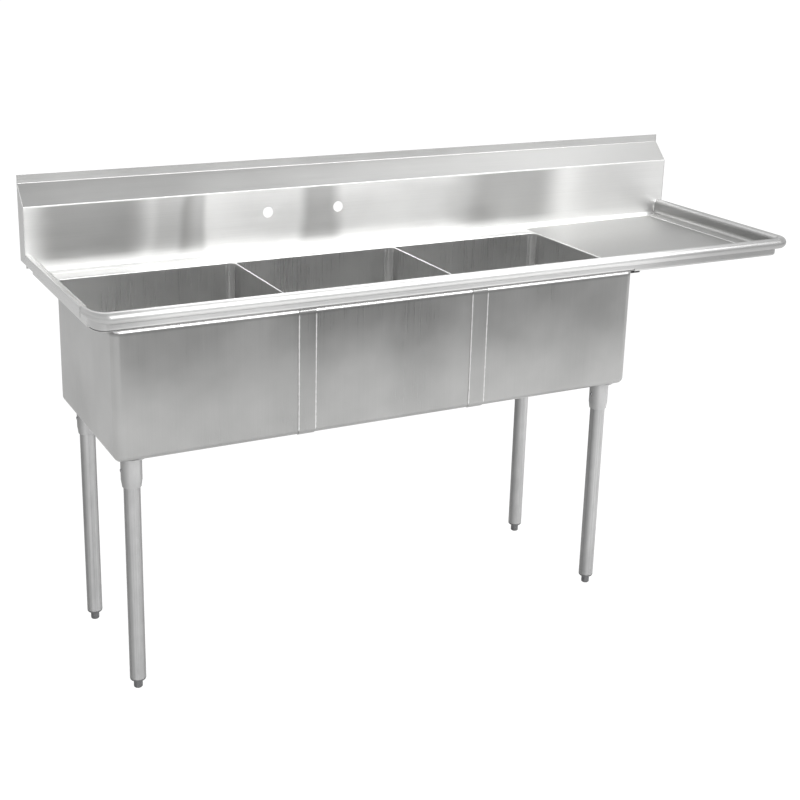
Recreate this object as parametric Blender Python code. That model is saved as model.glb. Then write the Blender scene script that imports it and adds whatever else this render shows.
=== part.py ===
"""Three compartment sink with a right-hand drainboard, boxed backsplash and four tube legs.

Shop frame used while building: x runs from the left end to the right end, y runs from the
front roll back to the wall, z runs up from the floor.  Every piece is then shifted so that the
middle of the footprint stands on the world origin.  All lengths are metres.
"""
import math

import bmesh
import bpy
from mathutils import Vector

# Overall size
LENGTH = 1.933
DEPTH = 0.619
HEIGHT = 1.130
SHEET = 0.0013
GAP = 0.0003

# Levels above the floor
RIM_TOP = 0.941
DECK = 0.894
BOWL_BOTTOM = 0.587
SPLASH_SLOPE_BOTTOM = 1.060
SPLASH_SLOPE_TOP = 1.109

# Backsplash
SPLASH_FACE_Y = 0.568
SPLASH_COVE_RADIUS = 0.012
SPLASH_FOOT = 0.010
SPLASH_BEND_RADIUS = 0.003
FAUCET_SPACING = 0.2032
FAUCET_HOLE_RADIUS = 0.0143
FAUCET_Z = 0.999
END_CAP_DROP = 0.024
CUT_MARGIN = 0.010

# Bowls
BODY_LEFT = 0.053
BODY_RIGHT = 1.426
BODY_FRONT = 0.0295
BODY_BACK = 0.4935
BOWL_COUNT = 3
BOWL_CORNER = 0.0203
SHOULDER_HEIGHT = 0.012
SHOULDER_RADIUS = 0.014
LEDGE_SHARE = 0.7
BOTTOM_COVE = 0.0163
BOTTOM_FALL = 0.003
FLAT_MARGIN = 0.090
FLAT_CORNER = 0.004
DRAIN_RECESS_RADIUS = 0.060
DRAIN_RECESS_DEPTH = 0.003
DRAIN_RECESS_STEP = 0.004
DRAIN_HOLE_RADIUS = 0.0455

# Rims
ROLL_RADIUS = 0.0142
ROLL_WRAP_ANGLE = 225.0
LEFT_RIM_WIDTH = 0.0174
LEFT_RIM_DROP = 0.024
CORNER_RADIUS = 0.045
LEFT_WRAP_END_Y = 0.080
WRAP_STEPS = 6
RISER_TUCK = 0.005
RIM_BEND_RADIUS = 0.003

# Seam strips between the bowls
STRIP_WIDTH = 0.0426

# Drainboard
PAN_RISE = 0.004
CHANNEL_WIDTH = 0.050
CHANNEL_HEIGHT = 0.014
CHANNEL_SETBACK = 0.030
CHANNEL_START = 0.003
CHANNEL_LIP = 0.010
CHANNEL_BEND_RADIUS = 0.002

# Legs
LEG_LEFT_X = 0.101
LEG_RIGHT_X = 1.378
LEG_FRONT_Y = 0.077
LEG_REAR_Y = 0.440
TUBE_RADIUS = 0.01905
TUBE_WALL = 0.0015
SOCKET_RADIUS = 0.0243
SOCKET_LENGTH = 0.075
SOCKET_TAPER = 0.016
SOCKET_FLANGE_RADIUS = 0.036
SOCKET_FLANGE_THICKNESS = 0.003
SOCKET_FILLET = 0.003
SOCKET_MOUTH_LIP = 0.0012
SOCKET_STOP = 0.006
SET_SCREW_RADIUS = 0.0040
SET_SCREW_DROP = 0.034
SCREW_CUT_LENGTH = 0.016
SCREW_PROUD = 0.0015
SCREW_KEY_RADIUS = 0.0022
SCREW_SOCKET_DEPTH = 0.0012
FOOT_STUB_RADIUS = 0.0105
FOOT_STUB_HEIGHT = 0.020
FOOT_CHAMFER = 0.0025
FOOT_STEM_RADIUS = 0.006
FOOT_STEM_LENGTH = 0.040
INSERT_LIP_HEIGHT = 0.006
INSERT_LIP_CHAMFER = 0.0018
INSERT_PLUG_LENGTH = 0.030

# Drain fittings
DRAIN_FLANGE_RADIUS = 0.056
DRAIN_CUP_RADIUS = 0.0435
DRAIN_CUP_DEPTH = 0.034
DRAIN_TAIL_RADIUS = 0.0205
DRAIN_TAIL_DEPTH = 0.030
DRAIN_WALL = 0.0015
DRAIN_FLANGE_THICKNESS = 0.0016
DRAIN_FLANGE_BEVEL = 0.004
GASKET_THICKNESS = 0.003
GASKET_WIDTH = 0.012
LOCKNUT_THICKNESS = 0.010
LOCKNUT_WIDTH = 0.009
LOCKNUT_LUG = 0.003
BASKET_RADIUS = 0.0385
BASKET_WALL = 0.0012
BASKET_RIM_Z = -0.006
BASKET_RIM_WIDTH = 0.004
BASKET_FLOOR_RADIUS = 0.0255
BASKET_FLOOR_COVE = 0.006
BASKET_SEAT = 0.004
BASKET_CLEARANCE = 0.001
BASKET_HOLES = 8
BASKET_HOLE_RADIUS = 0.0028
BASKET_HOLE_CIRCLE = 0.016
KNOB_RADIUS = 0.007
KNOB_STEM_RADIUS = 0.0035
CUTTER_STEPS = 16

ROUND_STEPS = 18
SHARP_ANGLE = math.radians(35.0)
SHIFT = Vector((-LENGTH / 2.0, -DEPTH / 2.0, 0.0))
BOWL_PITCH = (BODY_RIGHT - BODY_LEFT) / BOWL_COUNT
BOWL_NAMES = ("left", "middle", "right")


def material(name, colour, roughness, metallic):
    """Return a plain Principled material."""
    made = bpy.data.materials.new(name)
    made.use_nodes = True
    shader = made.node_tree.nodes["Principled BSDF"]
    shader.inputs["Base Color"].default_value = (colour[0], colour[1], colour[2], 1.0)
    shader.inputs["Roughness"].default_value = roughness
    shader.inputs["Metallic"].default_value = metallic
    return made


def shade_round(piece):
    """Smooth shading with the real edges kept sharp."""
    piece.data.shade_smooth()
    piece.data.set_sharp_from_angle(angle=SHARP_ANGLE)


def add_piece(name, vertices, faces, look, place=None):
    """Make one closed object from vertices and faces given about its own origin."""
    mesh = bpy.data.meshes.new(name)
    mesh.from_pydata([tuple(v) for v in vertices], [], faces)
    work = bmesh.new()
    work.from_mesh(mesh)
    bmesh.ops.remove_doubles(work, verts=work.verts, dist=1e-6)
    bmesh.ops.recalc_face_normals(work, faces=work.faces)
    work.to_mesh(mesh)
    work.free()
    piece = bpy.data.objects.new(name, mesh)
    bpy.context.scene.collection.objects.link(piece)
    piece.location = SHIFT if place is None else Vector(place) + SHIFT
    mesh.materials.append(look)
    shade_round(piece)
    return piece


def offset_path(path, distance):
    """Offset an open 2D path to its right by a distance, mitring the corners."""
    moved = []
    last = len(path) - 1
    for i, point in enumerate(path):
        before = path[max(i - 1, 0)]
        after = path[min(i + 1, last)]
        into = (Vector(point) - Vector(before)) if i > 0 else (Vector(after) - Vector(point))
        out = (Vector(after) - Vector(point)) if i < last else into
        into.normalize()
        out.normalize()
        normal_in = Vector((into.y, -into.x))
        normal_out = Vector((out.y, -out.x))
        middle = (normal_in + normal_out).normalized()
        reach = distance / max(middle.dot(normal_in), 0.2)
        moved.append((point[0] + middle.x * reach, point[1] + middle.y * reach))
    return moved


def arc(centre, radius, start, end, steps):
    """Points on a 2D arc, angles in degrees, both ends included."""
    points = []
    for i in range(steps + 1):
        angle = math.radians(start + (end - start) * i / steps)
        x = centre[0] + radius * math.cos(angle)
        y = centre[1] + radius * math.sin(angle)
        points.append((x, y))
    return points


def rounded_path(corners, radius, steps):
    """Open 2D path through corner points with every inner corner rounded."""
    path = [corners[0]]
    for i in range(1, len(corners) - 1):
        corner = Vector(corners[i])
        back = (Vector(corners[i - 1]) - corner).normalized()
        ahead = (Vector(corners[i + 1]) - corner).normalized()
        half = math.acos(max(-1.0, min(1.0, back.dot(ahead)))) / 2.0
        run = radius / math.tan(half)
        centre = corner + (back + ahead).normalized() * (radius / math.sin(half))
        first = corner + back * run
        second = corner + ahead * run
        a = math.atan2(first.y - centre.y, first.x - centre.x)
        b = math.atan2(second.y - centre.y, second.x - centre.x)
        turn = (b - a + math.pi) % (2.0 * math.pi) - math.pi
        for k in range(steps + 1):
            angle = a + turn * k / steps
            x = centre.x + radius * math.cos(angle)
            y = centre.y + radius * math.sin(angle)
            path.append((x, y))
    path.append(corners[-1])
    return path


def sheet_solid(stations):
    """Closed solid from stations, each a pair of equal 3D point rows (one per sheet face)."""
    count = len(stations[0][0])
    vertices = []
    for face_a, face_b in stations:
        vertices.extend(face_a)
        vertices.extend(face_b)

    def at(station, side, i):
        return (station * 2 + side) * count + i

    faces = []
    last = len(stations) - 1
    for s in range(last):
        for i in range(count - 1):
            faces.append((at(s, 0, i), at(s + 1, 0, i), at(s + 1, 0, i + 1), at(s, 0, i + 1)))
            faces.append((at(s, 1, i), at(s, 1, i + 1), at(s + 1, 1, i + 1), at(s + 1, 1, i)))
        for i in (0, count - 1):
            faces.append((at(s, 0, i), at(s, 1, i), at(s + 1, 1, i), at(s + 1, 0, i)))
    for s in (0, last):
        for i in range(count - 1):
            faces.append((at(s, 0, i), at(s, 0, i + 1), at(s, 1, i + 1), at(s, 1, i)))
    return vertices, faces


def ring_solid(rings, closed):
    """Solid from equal rings; closed joins the last ring to the first, else both are capped."""
    count = len(rings[0])
    vertices = [point for ring in rings for point in ring]
    faces = []
    pairs = len(rings) if closed else len(rings) - 1
    for r in range(pairs):
        s = (r + 1) % len(rings)
        for i in range(count):
            j = (i + 1) % count
            faces.append((r * count + i, r * count + j, s * count + j, s * count + i))
    if not closed:
        faces.append(tuple(range(count)))
        faces.append(tuple((len(rings) - 1) * count + i for i in range(count)))
    return vertices, faces


def turned(profile, closed, steps=ROUND_STEPS):
    """Rings made by turning (radius, z) points about the z axis."""
    rings = []
    for radius, z in profile:
        ring = []
        for i in range(steps):
            angle = 2.0 * math.pi * i / steps
            ring.append((radius * math.cos(angle), radius * math.sin(angle), z))
        rings.append(ring)
    return ring_solid(rings, closed)


def along_x(path, thickness, x_start, x_end):
    """Folded sheet of constant (y, z) profile running along x."""
    other = offset_path(path, thickness)
    stations = []
    for x in (x_start, x_end):
        stations.append(([(x, p[0], p[1]) for p in path], [(x, p[0], p[1]) for p in other]))
    return sheet_solid(stations)


def apply_cuts(piece, cutters):
    """Bake the cuts into the piece's mesh and remove the cutters."""
    for cutter in cutters:
        cutter.display_type = "WIRE"
        modifier = piece.modifiers.new("cut", "BOOLEAN")
        modifier.operation = "DIFFERENCE"
        modifier.solver = "EXACT"
        modifier.object = cutter
    bpy.context.view_layer.update()
    graph = bpy.context.evaluated_depsgraph_get()
    result = bpy.data.meshes.new_from_object(piece.evaluated_get(graph))
    piece.modifiers.clear()
    piece.data = result
    shade_round(piece)
    for cutter in cutters:
        bpy.data.objects.remove(cutter)


def round_cutter(name, radius, length, centre, axis, look, steps=CUTTER_STEPS):
    """Plain cylinder used only for cutting, lying along the x, y or z axis."""
    profile = [(radius, -length / 2.0), (radius, length / 2.0)]
    vertices, faces = turned(profile, False, steps)
    piece = add_piece(name, vertices, faces, look, centre)
    if axis == "x":
        piece.rotation_euler = (0.0, math.pi / 2.0, 0.0)
    if axis == "y":
        piece.rotation_euler = (math.pi / 2.0, 0.0, 0.0)
    return piece


def box_cutter(name, x_range, y_range, z_range, look):
    """Plain box used only for cutting."""
    rings = []
    for z in z_range:
        rings.append([(x_range[0], y_range[0], z), (x_range[1], y_range[0], z),
                      (x_range[1], y_range[1], z), (x_range[0], y_range[1], z)])
    vertices, faces = ring_solid(rings, False)
    return add_piece(name, vertices, faces, look)


def rounded_rectangle(x_a, x_b, y_a, y_b, radius, corner_steps, side_steps):
    """Points of a rounded rectangle, counter-clockwise from the right end of the front side."""
    centres = (
        (x_b - radius, y_a + radius, -90.0),
        (x_b - radius, y_b - radius, 0.0),
        (x_a + radius, y_b - radius, 90.0),
        (x_a + radius, y_a + radius, 180.0),
    )
    points = []
    for k, (cx, cy, start) in enumerate(centres):
        corner = arc((cx, cy), radius, start, start + 90.0, corner_steps)
        points.extend(corner)
        following = centres[(k + 1) % 4]
        target = arc((following[0], following[1]), radius, following[2], following[2], 1)[0]
        for i in range(1, side_steps):
            share = i / side_steps
            x = corner[-1][0] + (target[0] - corner[-1][0]) * share
            y = corner[-1][1] + (target[1] - corner[-1][1]) * share
            points.append((x, y))
    return points


def clear_scene():
    """Remove every object in the scene."""
    for item in list(bpy.data.objects):
        bpy.data.objects.remove(item)


clear_scene()

STAINLESS = material("stainless_brushed", (0.62, 0.62, 0.61), 0.34, 1.0)
STAINLESS_DARK = material("stainless_inside", (0.55, 0.55, 0.54), 0.38, 1.0)
GALVANIZED = material("galvanized_tube", (0.60, 0.61, 0.62), 0.42, 1.0)
CAST_SOCKET = material("cast_socket", (0.63, 0.64, 0.65), 0.55, 1.0)
ZINC = material("zinc_foot", (0.34, 0.35, 0.36), 0.50, 1.0)
RUBBER = material("rubber_black", (0.03, 0.03, 0.03), 0.80, 0.0)
CHROME = material("polished_strainer", (0.72, 0.72, 0.72), 0.18, 1.0)


# Backsplash: foot on the ledge, cove, face, 45 degree return, wall lip
def build_backsplash():
    cove = arc(
        (SPLASH_FACE_Y - SPLASH_COVE_RADIUS, DECK + SPLASH_COVE_RADIUS),
        SPLASH_COVE_RADIUS, -90.0, 0.0, 5,
    )
    upper = rounded_path(
        [
            cove[-1],
            (SPLASH_FACE_Y, SPLASH_SLOPE_BOTTOM),
            (DEPTH - SHEET, SPLASH_SLOPE_TOP),
            (DEPTH - SHEET, HEIGHT),
        ],
        SPLASH_BEND_RADIUS, 3,
    )
    foot = (SPLASH_FACE_Y - SPLASH_COVE_RADIUS - SPLASH_FOOT, DECK)
    path = [foot] + cove[:-1] + upper
    vertices, faces = along_x(path, SHEET, SHEET + GAP, LENGTH - SHEET - GAP)
    panel = add_piece("backsplash_panel", vertices, faces, STAINLESS)
    middle = (BODY_LEFT + BODY_RIGHT) / 2.0
    cutters = []
    for side in (-0.5, 0.5):
        centre = (middle + side * FAUCET_SPACING, SPLASH_FACE_Y, FAUCET_Z)
        length = 2.0 * CUT_MARGIN
        cutters.append(round_cutter("faucet_cut", FAUCET_HOLE_RADIUS, length, centre, "y", STAINLESS))
    # the foot and the cove stop short of the two side rims
    foot_reach = SPLASH_COVE_RADIUS + SPLASH_FOOT + CUT_MARGIN
    notch_z = (DECK - CUT_MARGIN, DECK + SPLASH_COVE_RADIUS + SHEET)
    notch_y = (SPLASH_FACE_Y - foot_reach, DEPTH)
    left_notch = (-CUT_MARGIN, LEFT_RIM_WIDTH + GAP)
    right_notch = (LENGTH - 2.0 * ROLL_RADIUS - GAP, LENGTH + CUT_MARGIN)
    for notch_x in (left_notch, right_notch):
        cutters.append(box_cutter("rim_notch", notch_x, notch_y, notch_z, STAINLESS))
    apply_cuts(panel, cutters)

    outline = [
        (SPLASH_FACE_Y, RIM_TOP - END_CAP_DROP),
        (SPLASH_FACE_Y, SPLASH_SLOPE_BOTTOM),
        (DEPTH - SHEET, SPLASH_SLOPE_TOP),
        (DEPTH - SHEET, HEIGHT),
        (DEPTH, HEIGHT),
        (DEPTH, RIM_TOP - END_CAP_DROP),
    ]
    for side, x_a in (("left", 0.0), ("right", LENGTH - SHEET)):
        rings = [[(x, y, z) for y, z in outline] for x in (x_a, x_a + SHEET)]
        vertices, faces = ring_solid(rings, False)
        add_piece("backsplash_end_cap_" + side, vertices, faces, STAINLESS)


# Flat ledge behind, left and in front of the bowls, open over the three bowls
def build_deck_frame():
    x_left = LEFT_RIM_WIDTH + GAP
    x_right = BODY_RIGHT + SHEET + 2.0 * GAP
    y_front = 2.0 * ROLL_RADIUS + GAP
    y_back = SPLASH_FACE_Y - SPLASH_COVE_RADIUS - SPLASH_FOOT - GAP
    tuck = SHOULDER_RADIUS - math.sqrt(SHOULDER_RADIUS ** 2 - SHOULDER_HEIGHT ** 2)
    outer = [(x_left, y_back)]
    for across, along in arc((0.0, 0.0), 1.0, 180.0, 270.0, WRAP_STEPS):
        x = CORNER_RADIUS + (CORNER_RADIUS - x_left) * across
        y = LEFT_WRAP_END_Y + (LEFT_WRAP_END_Y - y_front) * along
        outer.append((x, y))
    outer += [(x_right, y_front), (x_right, y_back)]

    radius = BOWL_CORNER + GAP
    hole = []
    back = BODY_BACK + GAP
    # where two bowls meet, the small arcs stop short of each other and leave a blunt point
    blunt = 8.0
    for k in range(BOWL_COUNT):
        x_a = BODY_LEFT + BOWL_PITCH * k - (GAP if k == 0 else 0.0)
        x_b = BODY_LEFT + BOWL_PITCH * (k + 1) + (GAP if k == BOWL_COUNT - 1 else 0.0)
        first = 180.0 if k == 0 else 180.0 - blunt
        last = 0.0 if k == BOWL_COUNT - 1 else blunt
        hole += arc((x_a + radius, back - radius), radius, first, 90.0, 6)
        hole += arc((x_b - radius, back - radius), radius, 90.0, last, 6)
    front = BODY_FRONT + tuck * LEDGE_SHARE - GAP
    hole += [(BODY_RIGHT + GAP, front), (BODY_LEFT - GAP, front)]

    work = bmesh.new()
    loops = []
    for loop in (outer, hole):
        made = [work.verts.new((x, y, DECK)) for x, y in loop]
        for i, vertex in enumerate(made):
            loops.append(work.edges.new((vertex, made[(i + 1) % len(made)])))
    bmesh.ops.triangle_fill(work, edges=loops, use_beauty=True, use_dissolve=False)
    top = list(work.faces)
    made = bmesh.ops.extrude_face_region(work, geom=top)
    moved = [item for item in made["geom"] if isinstance(item, bmesh.types.BMVert)]
    bmesh.ops.translate(work, verts=moved, vec=(0.0, 0.0, -SHEET))
    bmesh.ops.recalc_face_normals(work, faces=work.faces)
    mesh = bpy.data.meshes.new("deck_frame")
    work.to_mesh(mesh)
    work.free()
    piece = bpy.data.objects.new("deck_frame", mesh)
    bpy.context.scene.collection.objects.link(piece)
    piece.location = SHIFT
    mesh.materials.append(STAINLESS)
    shade_round(piece)


# Rims: left turned-down edge, front roll, and the roll round the drainboard
def roll_profile(radius, bottom, tuck):
    """Rolled rim as (outward, z) points on its top side, riser outer face at 0."""
    path = []
    if tuck > 0.0:
        path += arc((-SHEET - tuck, bottom + tuck), tuck, -60.0, 0.0, 3)
    else:
        path.append((-SHEET, bottom))
    for u, z in arc((-radius, RIM_TOP - radius), radius, 0.0, ROLL_WRAP_ANGLE, 10):
        path.append((-u - SHEET, z))
    return path


def sweep_rim(name, stations):
    """Sheet swept through stations of (origin, outward direction, profile)."""
    rows = []
    for origin, outward, profile in stations:
        other = offset_path(profile, SHEET)
        pair = []
        for side in (profile, other):
            row = []
            for u, z in side:
                row.append((origin[0] + outward[0] * u, origin[1] + outward[1] * u, z))
            pair.append(row)
        rows.append(tuple(pair))
    vertices, faces = sheet_solid(rows)
    return add_piece(name, vertices, faces, STAINLESS)


def build_rims():
    riser_y = 2.0 * ROLL_RADIUS - SHEET
    riser_x = LEFT_RIM_WIDTH - SHEET
    turned_down = rounded_path(
        [
            (-SHEET, DECK - SHEET),
            (-SHEET, RIM_TOP),
            (riser_x, RIM_TOP),
            (riser_x, RIM_TOP - LEFT_RIM_DROP),
        ],
        RIM_BEND_RADIUS, 3,
    )
    stations = []
    for y in (SPLASH_FACE_Y - GAP, LEFT_WRAP_END_Y + GAP):
        stations.append(((riser_x, y), (-1.0, 0.0), turned_down))
    sweep_rim("rim_left", stations)

    plain = roll_profile(ROLL_RADIUS, DECK + SHEET, RISER_TUCK)
    stations = []
    for i in range(WRAP_STEPS + 1):
        share = i / WRAP_STEPS
        angle = math.radians(180.0 + 90.0 * share)
        run_x = CORNER_RADIUS - riser_x
        run_y = LEFT_WRAP_END_Y - riser_y
        origin = (CORNER_RADIUS + run_x * math.cos(angle), LEFT_WRAP_END_Y + run_y * math.sin(angle))
        outward = Vector((math.cos(angle) / run_x, math.sin(angle) / run_y)).normalized()
        swell = share * share
        width = (LEFT_RIM_WIDTH / 2.0) * (1.0 - swell) + ROLL_RADIUS * swell
        stations.append((origin, outward, roll_profile(width, DECK + SHEET, RISER_TUCK)))
    stations.append(((BODY_RIGHT + SHEET, riser_y), (0.0, -1.0), plain))
    sweep_rim("rim_front", stations)

    low = roll_profile(ROLL_RADIUS, DECK - SHEET, 0.0)
    riser_right = LENGTH - 2.0 * ROLL_RADIUS + SHEET
    inner_radius = CORNER_RADIUS - 2.0 * ROLL_RADIUS + SHEET
    stations = [((BODY_RIGHT + SHEET + GAP, riser_y), (0.0, -1.0), low)]
    for i in range(WRAP_STEPS + 1):
        angle = math.radians(-90.0 + 90.0 * i / WRAP_STEPS)
        outward = (math.cos(angle), math.sin(angle))
        origin = (
            riser_right - inner_radius + inner_radius * outward[0],
            riser_y + inner_radius + inner_radius * outward[1],
        )
        stations.append((origin, outward, low))
    stations.append(((riser_right, SPLASH_FACE_Y - GAP), (1.0, 0.0), low))
    sweep_rim("rim_drainboard", stations)


# Bowls: straight walls, coved corners and bottom, stamped drain recess
def shoulder_shift(z):
    """How far the top of the front wall leans inward at a height."""
    rise = max(0.0, z - (DECK - SHOULDER_HEIGHT))
    return SHOULDER_RADIUS - math.sqrt(SHOULDER_RADIUS ** 2 - rise ** 2)


def bowl_ring(x_a, x_b, inset, z, corner_steps, side_steps, lean):
    """One level ring of a bowl surface, inset from the outer faces."""
    radius = max(BOWL_CORNER - inset, FLAT_CORNER - SHEET)
    flat = rounded_rectangle(
        x_a + inset, x_b - inset, BODY_FRONT + inset, BODY_BACK - inset,
        radius, corner_steps, side_steps,
    )
    ring = []
    for x, y in flat:
        share = min(1.0, max(0.0, (BODY_FRONT + BOWL_CORNER - y) / BOWL_CORNER))
        ring.append((x, y + lean * share, z))
    return ring


def build_bowl(name, x_a, x_b):
    corner_steps = 4
    side_steps = 2
    centre = ((x_a + x_b) / 2.0, (BODY_FRONT + BODY_BACK) / 2.0)

    def round_ring(radius, z):
        count = 4 * (corner_steps + side_steps)
        start = math.radians(-45.0) - math.pi * corner_steps / count
        points = []
        for i in range(count):
            angle = start + 2.0 * math.pi * i / count
            x = centre[0] + radius * math.cos(angle)
            y = centre[1] + radius * math.sin(angle)
            points.append((x, y, z))
        return points

    def surface(inset, floor):
        rings = []
        for k in range(4):
            z = DECK - SHOULDER_HEIGHT * k / 3.0
            rings.append(bowl_ring(x_a, x_b, inset, z, corner_steps, side_steps, shoulder_shift(z)))
        cove = BOTTOM_COVE - inset
        for k in range(5):
            angle = math.radians(22.5 * k)
            step = cove * (1.0 - math.cos(angle))
            z = floor + cove * (1.0 - math.sin(angle))
            rings.append(bowl_ring(x_a, x_b, inset + step, z, corner_steps, side_steps, 0.0))
        rings.append(bowl_ring(x_a, x_b, FLAT_MARGIN, floor, corner_steps, side_steps, 0.0))
        rings.append(round_ring(DRAIN_RECESS_RADIUS + DRAIN_RECESS_STEP + inset, floor - BOTTOM_FALL))
        rings.append(round_ring(DRAIN_RECESS_RADIUS + inset, floor - BOTTOM_FALL - DRAIN_RECESS_DEPTH))
        rings.append(round_ring(DRAIN_HOLE_RADIUS, floor - BOTTOM_FALL - DRAIN_RECESS_DEPTH))
        return rings

    outer = surface(0.0, BOWL_BOTTOM)
    inner = surface(SHEET, BOWL_BOTTOM + SHEET)
    vertices, faces = ring_solid(outer + inner[::-1], True)
    add_piece(name, vertices, faces, STAINLESS_DARK)
    return centre


# Flat strips that close the grooves between neighbouring bowls
def build_seam_strip(name, x_middle, front):
    sign = 1.0 if front else -1.0
    face = (BODY_FRONT - GAP) if front else (BODY_BACK + GAP)
    z_top = DECK - SHOULDER_HEIGHT - SHEET
    radius = BOTTOM_COVE + GAP
    path = [(face, z_top), (face, BOWL_BOTTOM + BOTTOM_COVE)]
    centre = (face + sign * radius, BOWL_BOTTOM + BOTTOM_COVE)
    for k in range(1, 6):
        angle = math.radians(14.0 * k)
        y = centre[0] - sign * radius * math.cos(angle)
        z = centre[1] - radius * math.sin(angle)
        path.append((y, z))
    half = STRIP_WIDTH / 2.0
    vertices, faces = along_x(path, sign * SHEET, x_middle - half, x_middle + half)
    add_piece(name, vertices, faces, STAINLESS)


# Drainboard pan, pitched towards the bowls, and its support channel
def build_drainboard():
    x_a = BODY_RIGHT + SHEET + 3.0 * GAP
    x_b = LENGTH - 2.0 * ROLL_RADIUS - GAP
    y_a = 2.0 * ROLL_RADIUS + GAP
    y_b = SPLASH_FACE_Y - SPLASH_COVE_RADIUS - SPLASH_FOOT - GAP
    inner = CORNER_RADIUS - 2.0 * ROLL_RADIUS - GAP
    corner = arc((x_b - inner, y_a + inner), inner, -90.0, 0.0, WRAP_STEPS)
    outline = [(x_a, y_a)] + corner + [(x_b, y_b), (x_a, y_b)]

    def level(x):
        return DECK + PAN_RISE * (x - x_a) / (x_b - x_a)

    top = [(x, y, level(x)) for x, y in outline]
    under = [(x, y, level(x) - SHEET) for x, y in outline]
    vertices, faces = ring_solid([top, under], False)
    add_piece("drainboard_pan", vertices, faces, STAINLESS)

    channel_x = BODY_RIGHT + CHANNEL_START
    z_top = DECK - 2.0 * SHEET - GAP
    section = [
        (channel_x, z_top),
        (channel_x + CHANNEL_LIP, z_top),
        (channel_x + CHANNEL_LIP, z_top - CHANNEL_HEIGHT),
        (channel_x + CHANNEL_WIDTH - CHANNEL_LIP, z_top - CHANNEL_HEIGHT),
        (channel_x + CHANNEL_WIDTH - CHANNEL_LIP, z_top),
        (channel_x + CHANNEL_WIDTH, z_top),
    ]
    rounded = rounded_path(section, CHANNEL_BEND_RADIUS, 2)
    other = offset_path(rounded, -SHEET)
    rows = []
    for y in (BODY_FRONT + CHANNEL_SETBACK, BODY_BACK - CHANNEL_SETBACK):
        rows.append(([(x, y, z) for x, z in rounded], [(x, y, z) for x, z in other]))
    vertices, faces = sheet_solid(rows)
    add_piece("drainboard_channel", vertices, faces, STAINLESS)


# Legs: socket under the bowl, set screw, tube, threaded insert and bullet foot
def build_leg(name, x, y):
    socket_top = BOWL_BOTTOM - GAP
    tube_bottom = FOOT_STUB_HEIGHT + INSERT_LIP_HEIGHT
    bore = TUBE_RADIUS + GAP
    bottom = -SOCKET_LENGTH
    profile = [
        (bore, -SOCKET_FLANGE_THICKNESS - GAP),
        (bore, bottom),
        (bore + SOCKET_MOUTH_LIP, bottom),
        (SOCKET_RADIUS, bottom + SOCKET_TAPER),
        (SOCKET_RADIUS, -SOCKET_FLANGE_THICKNESS - SOCKET_FILLET),
        (SOCKET_RADIUS + SOCKET_FILLET, -SOCKET_FLANGE_THICKNESS),
        (SOCKET_FLANGE_RADIUS, -SOCKET_FLANGE_THICKNESS),
        (SOCKET_FLANGE_RADIUS, 0.0),
        (bore - SOCKET_STOP, 0.0),
        (bore - SOCKET_STOP, -SOCKET_FLANGE_THICKNESS - GAP),
    ]
    vertices, faces = turned(profile, True)
    place = (x, y, socket_top)
    socket = add_piece("leg_socket_" + name, vertices, faces, CAST_SOCKET, place)
    screw_z = socket_top - SET_SCREW_DROP
    screw_x = x - SOCKET_RADIUS
    spot = (screw_x, y, screw_z)
    hole = round_cutter("screw_cut", SET_SCREW_RADIUS + GAP, SCREW_CUT_LENGTH, spot, "x", CAST_SOCKET)
    apply_cuts(socket, [hole])

    # set screw, hexagon recess facing outwards, tip against the tube
    tip = bore - SOCKET_RADIUS
    steps = 12
    screw = []
    for hexagon, z in ((False, tip), (False, SCREW_PROUD), (True, SCREW_PROUD), (True, -SCREW_SOCKET_DEPTH)):
        ring = []
        for i in range(steps):
            angle = 2.0 * math.pi * i / steps
            sector = (angle % (math.pi / 3.0)) - math.pi / 6.0
            reach = SCREW_KEY_RADIUS / math.cos(sector) if hexagon else SET_SCREW_RADIUS
            ring.append((reach * math.cos(angle), reach * math.sin(angle), z))
        screw.append(ring)
    vertices, faces = ring_solid(screw, False)
    piece = add_piece("set_screw_" + name, vertices, faces, ZINC, spot)
    piece.rotation_euler = (0.0, -math.pi / 2.0, 0.0)

    top = socket_top - SOCKET_FLANGE_THICKNESS - 2.0 * GAP
    inside = TUBE_RADIUS - TUBE_WALL
    profile = [
        (TUBE_RADIUS, tube_bottom + GAP),
        (TUBE_RADIUS, top),
        (inside, top),
        (inside, tube_bottom + GAP),
    ]
    vertices, faces = turned(profile, True)
    add_piece("leg_tube_" + name, vertices, faces, GALVANIZED, (x, y, 0.0))

    stem_bore = FOOT_STEM_RADIUS + GAP
    lip_bottom = FOOT_STUB_HEIGHT + GAP
    plug = inside - GAP
    profile = [
        (stem_bore, lip_bottom),
        (TUBE_RADIUS - INSERT_LIP_HEIGHT, lip_bottom),
        (TUBE_RADIUS - INSERT_LIP_CHAMFER, lip_bottom + INSERT_LIP_CHAMFER),
        (TUBE_RADIUS, tube_bottom),
        (plug, tube_bottom),
        (plug, tube_bottom + INSERT_PLUG_LENGTH),
        (stem_bore, tube_bottom + INSERT_PLUG_LENGTH),
    ]
    vertices, faces = turned(profile, True)
    add_piece("foot_insert_" + name, vertices, faces, ZINC, (x, y, 0.0))

    profile = [
        (FOOT_STUB_RADIUS - FOOT_CHAMFER, 0.0),
        (FOOT_STUB_RADIUS, FOOT_CHAMFER),
        (FOOT_STUB_RADIUS, FOOT_STUB_HEIGHT),
        (FOOT_STEM_RADIUS, FOOT_STUB_HEIGHT),
        (FOOT_STEM_RADIUS, FOOT_STUB_HEIGHT + FOOT_STEM_LENGTH),
    ]
    vertices, faces = turned(profile, False)
    add_piece("bullet_foot_" + name, vertices, faces, ZINC, (x, y, 0.0))


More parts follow.
